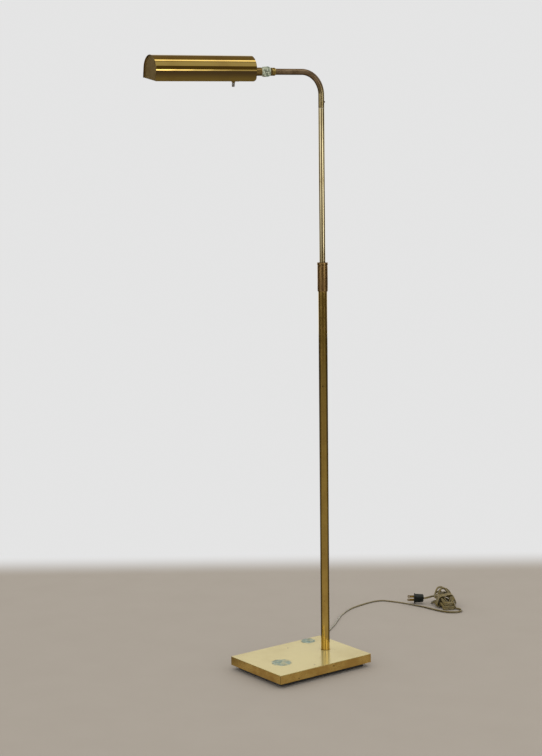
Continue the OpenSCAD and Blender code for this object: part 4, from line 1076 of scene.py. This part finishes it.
# %% Moulded, woven and cast parts
def mottled(name, first, second, scale, rough, bump=0.0, sheen=0.0, coat=0.0):
    finish, tree, shader = blank_finish(name)
    place = add(tree, "TexCoord").outputs["Object"]
    blotch = effect(tree, tarnish, {"Vector": place, "Scale": scale, "Low": 0.3, "High": 0.7})["Mask"]
    corners = effect(tree, shade_and_grime, {"Distance": 0.003})["Mask"]
    colour = mixed(tree, blotch, first, second)
    # Painted shade: the colour goes dark where the corners are shut in
    corner_shading = sums(tree, "MULTIPLY", corners, 0.6)
    feed(tree, mixed(tree, corner_shading, colour, [c * 0.35 for c in first]), shader["Base Color"])
    feed(tree, between(tree, blotch, 0.0, 1.0, rough[0], rough[1]), shader["Roughness"])
    if bump:
        pebble = add(tree, "Bump", {"Height": blotch, "Strength": bump, "Distance": 0.0003})
        feed(tree, pebble.outputs["Normal"], shader["Normal"])
    shader["Sheen Weight"].default_value = sheen
    shader["Coat Weight"].default_value = coat
    return finish


finishes["felt"] = mottled("dark_felt", (0.022, 0.020, 0.018), (0.05, 0.046, 0.04),
                           1800, (0.9, 1.0), 0.8, sheen=0.4)
finishes["black_iron"] = mottled("cast_iron", (0.008, 0.006, 0.004), (0.018, 0.014, 0.010),
                                 700, (0.55, 0.75), 0.6)
finishes["nylon"] = mottled("natural_nylon", (0.62, 0.58, 0.48), (0.70, 0.66, 0.56),
                            120, (0.35, 0.5), 0.05)
finishes["fibre"] = mottled("red_fibre", (0.10, 0.052, 0.03), (0.16, 0.085, 0.05),
                            900, (0.55, 0.7), 0.3)
finishes["phenolic"] = mottled("brown_phenolic", (0.022, 0.017, 0.013), (0.045, 0.032, 0.023),
                               260, (0.2, 0.32), 0.04, coat=0.2)
finishes["black_plug"] = mottled("moulded_plug", (0.018, 0.021, 0.018), (0.032, 0.038, 0.031),
                                 420, (0.32, 0.48), 0.12)
print(len(finishes), "finishes so far")

# %% Frosted bulb glass
finish, tree, shader = blank_finish("frosted_glass")
place = add(tree, "TexCoord").outputs["Object"]
frost = effect(tree, tarnish, {"Vector": place, "Scale": 400.0, "Low": 0.3, "High": 0.7})["Mask"]
feed(tree, mixed(tree, frost, (0.93, 0.92, 0.88), (0.97, 0.96, 0.94)), shader["Base Color"])
feed(tree, between(tree, frost, 0.0, 1.0, 0.38, 0.5), shader["Roughness"])
shader["Transmission Weight"].default_value = 0.55
shader["IOR"].default_value = 1.48
finishes["bulb_glass"] = finish
print("finishes", sorted(finishes))

# %% [markdown]
# ## Dressing the lamp
#
# Every solid gets the finish of its slot in the CAD record, and so does every new piece. A few pieces
# have their own: the pole and its foot ring, the collar, the arm, the pivot screw, the shade, the knob
# and the cover, whose top, sides and seams were numbered when it was folded.

# %% Put the finishes on
def dress(piece, *coats):
    tags = [face.material_index for face in piece.data.polygons]
    piece.data.materials.clear()
    for coat in coats:
        piece.data.materials.append(coat)
    if len(coats) > 1:
        piece.data.polygons.foreach_set("material_index", tags)


own_finish = {
    "base_cover": (cover_top, cover_side, cover_seam),
    "pole_tube": (pole_brass,),
    "pole_foot": (pole_brass,),
    "collar_body": (collar_brass,),
    "collar_lip": (collar_brass,),
    "bent_arm": (arm_brown,),
    "pivot_screw": (patina,),
    "shade_trough": (shade_brass,),
    "switch_thumb": (knob_nickel,),
}
for node, slot in slots.items():
    dress(frame["nodes"][node], *own_finish.get(node, (finishes[slot],)))
made = [piece for piece in bpy.context.scene.objects if "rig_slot" in piece]
for piece in made:
    dress(piece, *own_finish.get(piece.name, (finishes[piece["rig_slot"]],)))
print("dressed", len(slots), "solids and", len(made), "pieces")

# %% [markdown]
# ## The studio
#
# Brass shows the room more than itself, so the room matters. A white backdrop fills the far side, which
# is what makes the base's top look cream. The rest of the room is dim, which gives the round tubes
# their dark edges. Behind the camera is a pale screen with a dark gap, and a narrow light stands at the
# left: each puts its own line on the upright tubes.
#
# The metal sees a dimmer floor than the eye does, by the Light Path node, and the shade's lower side is
# dark for that reason. To the eye the floor fades to white in the distance. From below it is open, so
# that the felt can be seen.
#
# One long softbox hangs overhead, and a row of boxes of graded brightness stands beside the camera, both
# in line with the shade: they draw the two bright lines along it.

# %% Floor
view_way = Vector((0.501, 0.865, 0))
floor_r, floor_drop = 6, 0.0002
fade_from, fade_to = 0.76, 0.98


def floor_finish():
    finish, tree, shader = blank_finish("studio_floor")
    place = add(tree, "TexCoord").outputs["Object"]
    fine = add(tree, "TexNoise", {"Vector": place, "Scale": 9.0, "Detail": 3.0}).outputs["Fac"]
    feed(tree, mixed(tree, fine, (0.405, 0.358, 0.302), (0.43, 0.382, 0.325)), shader["Base Color"])
    shader["Roughness"].default_value = 0.85
    shader["Specular IOR Level"].default_value = 0.1
    reach = add(tree, "VectorMath", {0: place}, operation="LENGTH").outputs["Value"]
    depth = add(tree, "VectorMath", {0: place, 1: view_way}, operation="DOT_PRODUCT").outputs["Value"]
    far = sums(tree, "MAXIMUM", between(tree, depth, fade_from, fade_to), between(tree, reach, 2.2, 3.6))
    seen = add(tree, "LightPath").outputs
    fade = sums(tree, "MULTIPLY", far, seen["Is Camera Ray"])
    toward = sums(tree, "DIVIDE", depth, reach)
    round_lamp = between(tree, reach, 0.3, 1.3, 0.20, 0.42)
    far_off = between(tree, reach, 1.2, floor_r, 0.0, 0.33)
    unlit = sums(tree, "ADD", round_lamp, far_off)
    aside = between(tree, toward, -0.57, -0.15, 0.0, 0.30)
    unlit = sums(tree, "ADD", unlit, sums(tree, "MULTIPLY", aside, between(tree, reach, 1.3, 2.2)))
    unlit = sums(tree, "MAXIMUM", unlit, between(tree, toward, -0.45, 0.1, 0.0, 0.9))
    unlit = sums(tree, "MULTIPLY", unlit, seen["Is Glossy Ray"])
    dim = add(tree, "Emission", {"Color": (1, 0.9, 0.78, 1), "Strength": 0.03})
    white = add(tree, "Emission", {"Color": (1, 1, 1, 1), "Strength": 0.78})
    body = tree.nodes["Principled BSDF"].outputs["BSDF"]
    lit = add(tree, "MixShader", {0: unlit, 1: body, 2: dim.outputs["Emission"]})
    both = add(tree, "MixShader", {0: fade, 1: lit.outputs["Shader"], 2: white.outputs["Emission"]})
    below = add(tree, "NewGeometry").outputs["Backfacing"]
    open_below = add(tree, "BsdfTransparent").outputs["BSDF"]
    whole = add(tree, "MixShader", {0: below, 1: both.outputs["Shader"], 2: open_below})
    feed(tree, whole.outputs["Shader"], tree.nodes["Material Output"].inputs["Surface"])
    return finish


bpy.ops.object.select_all(action="DESELECT")
bpy.ops.mesh.primitive_circle_add(vertices=96, radius=floor_r, fill_type="NGON",
                                  location=(0, 0, -floor_drop))
floor = begin("studio_floor")
dress(floor, floor_finish())
print("floor", 2 * floor_r, "m across")

# %% World
world = bpy.data.worlds.new("studio")
bpy.context.scene.world = world
world.use_nodes = True
tree = world.node_tree
heading = add(tree, "TexCoord").outputs["Generated"]
parts = add(tree, "SeparateXYZ", {"Vector": heading}).outputs
rise = parts["Z"]
facing = add(tree, "VectorMath", {0: heading, 1: view_way}, operation="DOT_PRODUCT").outputs["Value"]
turn = sums(tree, "ARCTAN2", sums(tree, "MULTIPLY", parts["Y"], -1.0), rise)
backdrop = sums(tree, "MULTIPLY", between(tree, facing, 0.55, 0.80), between(tree, rise, 0.60, 0.45))
bounce = sums(tree, "MULTIPLY", between(tree, turn, 0.42, 0.56), between(tree, turn, 1.16, 1.10))
ceiling = sums(tree, "MULTIPLY", between(tree, turn, 0.44, 0.36), between(tree, rise, 0.35, 0.55))
screen = sums(tree, "MULTIPLY", between(tree, facing, -0.56, -0.74), between(tree, rise, -0.12, 0.0))
screen = sums(tree, "MULTIPLY", screen, between(tree, facing, -0.84, -0.95, 1.0, 0.16))
left = sums(tree, "MULTIPLY", between(tree, parts["X"], -0.955, -0.985), between(tree, rise, -0.12, -0.03))
room = sums(tree, "ADD", 0.07, sums(tree, "MULTIPLY", bounce, 0.30))
room = sums(tree, "ADD", room, sums(tree, "MULTIPLY", ceiling, 0.08))
for area, level in ((screen, 0.88), (backdrop, 0.80), (left, 0.80)):
    room = sums(tree, "MAXIMUM", room, sums(tree, "MULTIPLY", area, level))
seen = add(tree, "LightPath").outputs
light = add(tree, "Mix", {0: seen["Is Glossy Ray"], 2: 0.95, 3: room}, data_type="FLOAT").outputs[0]
shown = sums(tree, "MAXIMUM", seen["Is Camera Ray"], seen["Is Transmission Ray"])
light = add(tree, "Mix", {0: shown, 2: light, 3: 0.78}, data_type="FLOAT").outputs[0]
feed(tree, light, tree.nodes["Background"].inputs["Strength"])
tint = mixed(tree, between(tree, light, 0.1, 0.4), (1, 0.8, 0.48), (1, 1, 1))
feed(tree, tint, tree.nodes["Background"].inputs["Color"])
print("world has", len(tree.nodes), "nodes")

# %% Softboxes
def softbox(name, place, tip, size, level):
    """A box of light in line with the shade, tipped about that line; level is how bright its face looks."""
    bpy.ops.object.light_add(type="AREA", location=place, rotation=(math.radians(tip), 0, 0))
    box = bpy.context.object
    box.name = name
    box.data.shape = "RECTANGLE"
    box.data.size, box.data.size_y = size
    box.data.energy = level * math.pi * size[0] * size[1]
    box.visible_camera = False


softbox("overhead_box", (0.60, -0.49, 2.90), 17, (1.8, 0.38), 1.25)
start, row_y, row_z, row_tall = -0.30, -2.65, 0.92, 0.46
row = ((1.1, 0.45), (0.1, 2.5), (0.08, 2.1), (0.08, 1.5), (0.08, 1.0), (0.08, 0.6), (0.62, 0.35))
for number, (length, level) in enumerate(row):
    softbox(f"camera_box_{number}", (start + length / 2, row_y, row_z), 90, (length, row_tall), level)
    start += length
bpy.context.scene.view_settings.view_transform = "Standard"
print("softboxes", 1 + len(row))
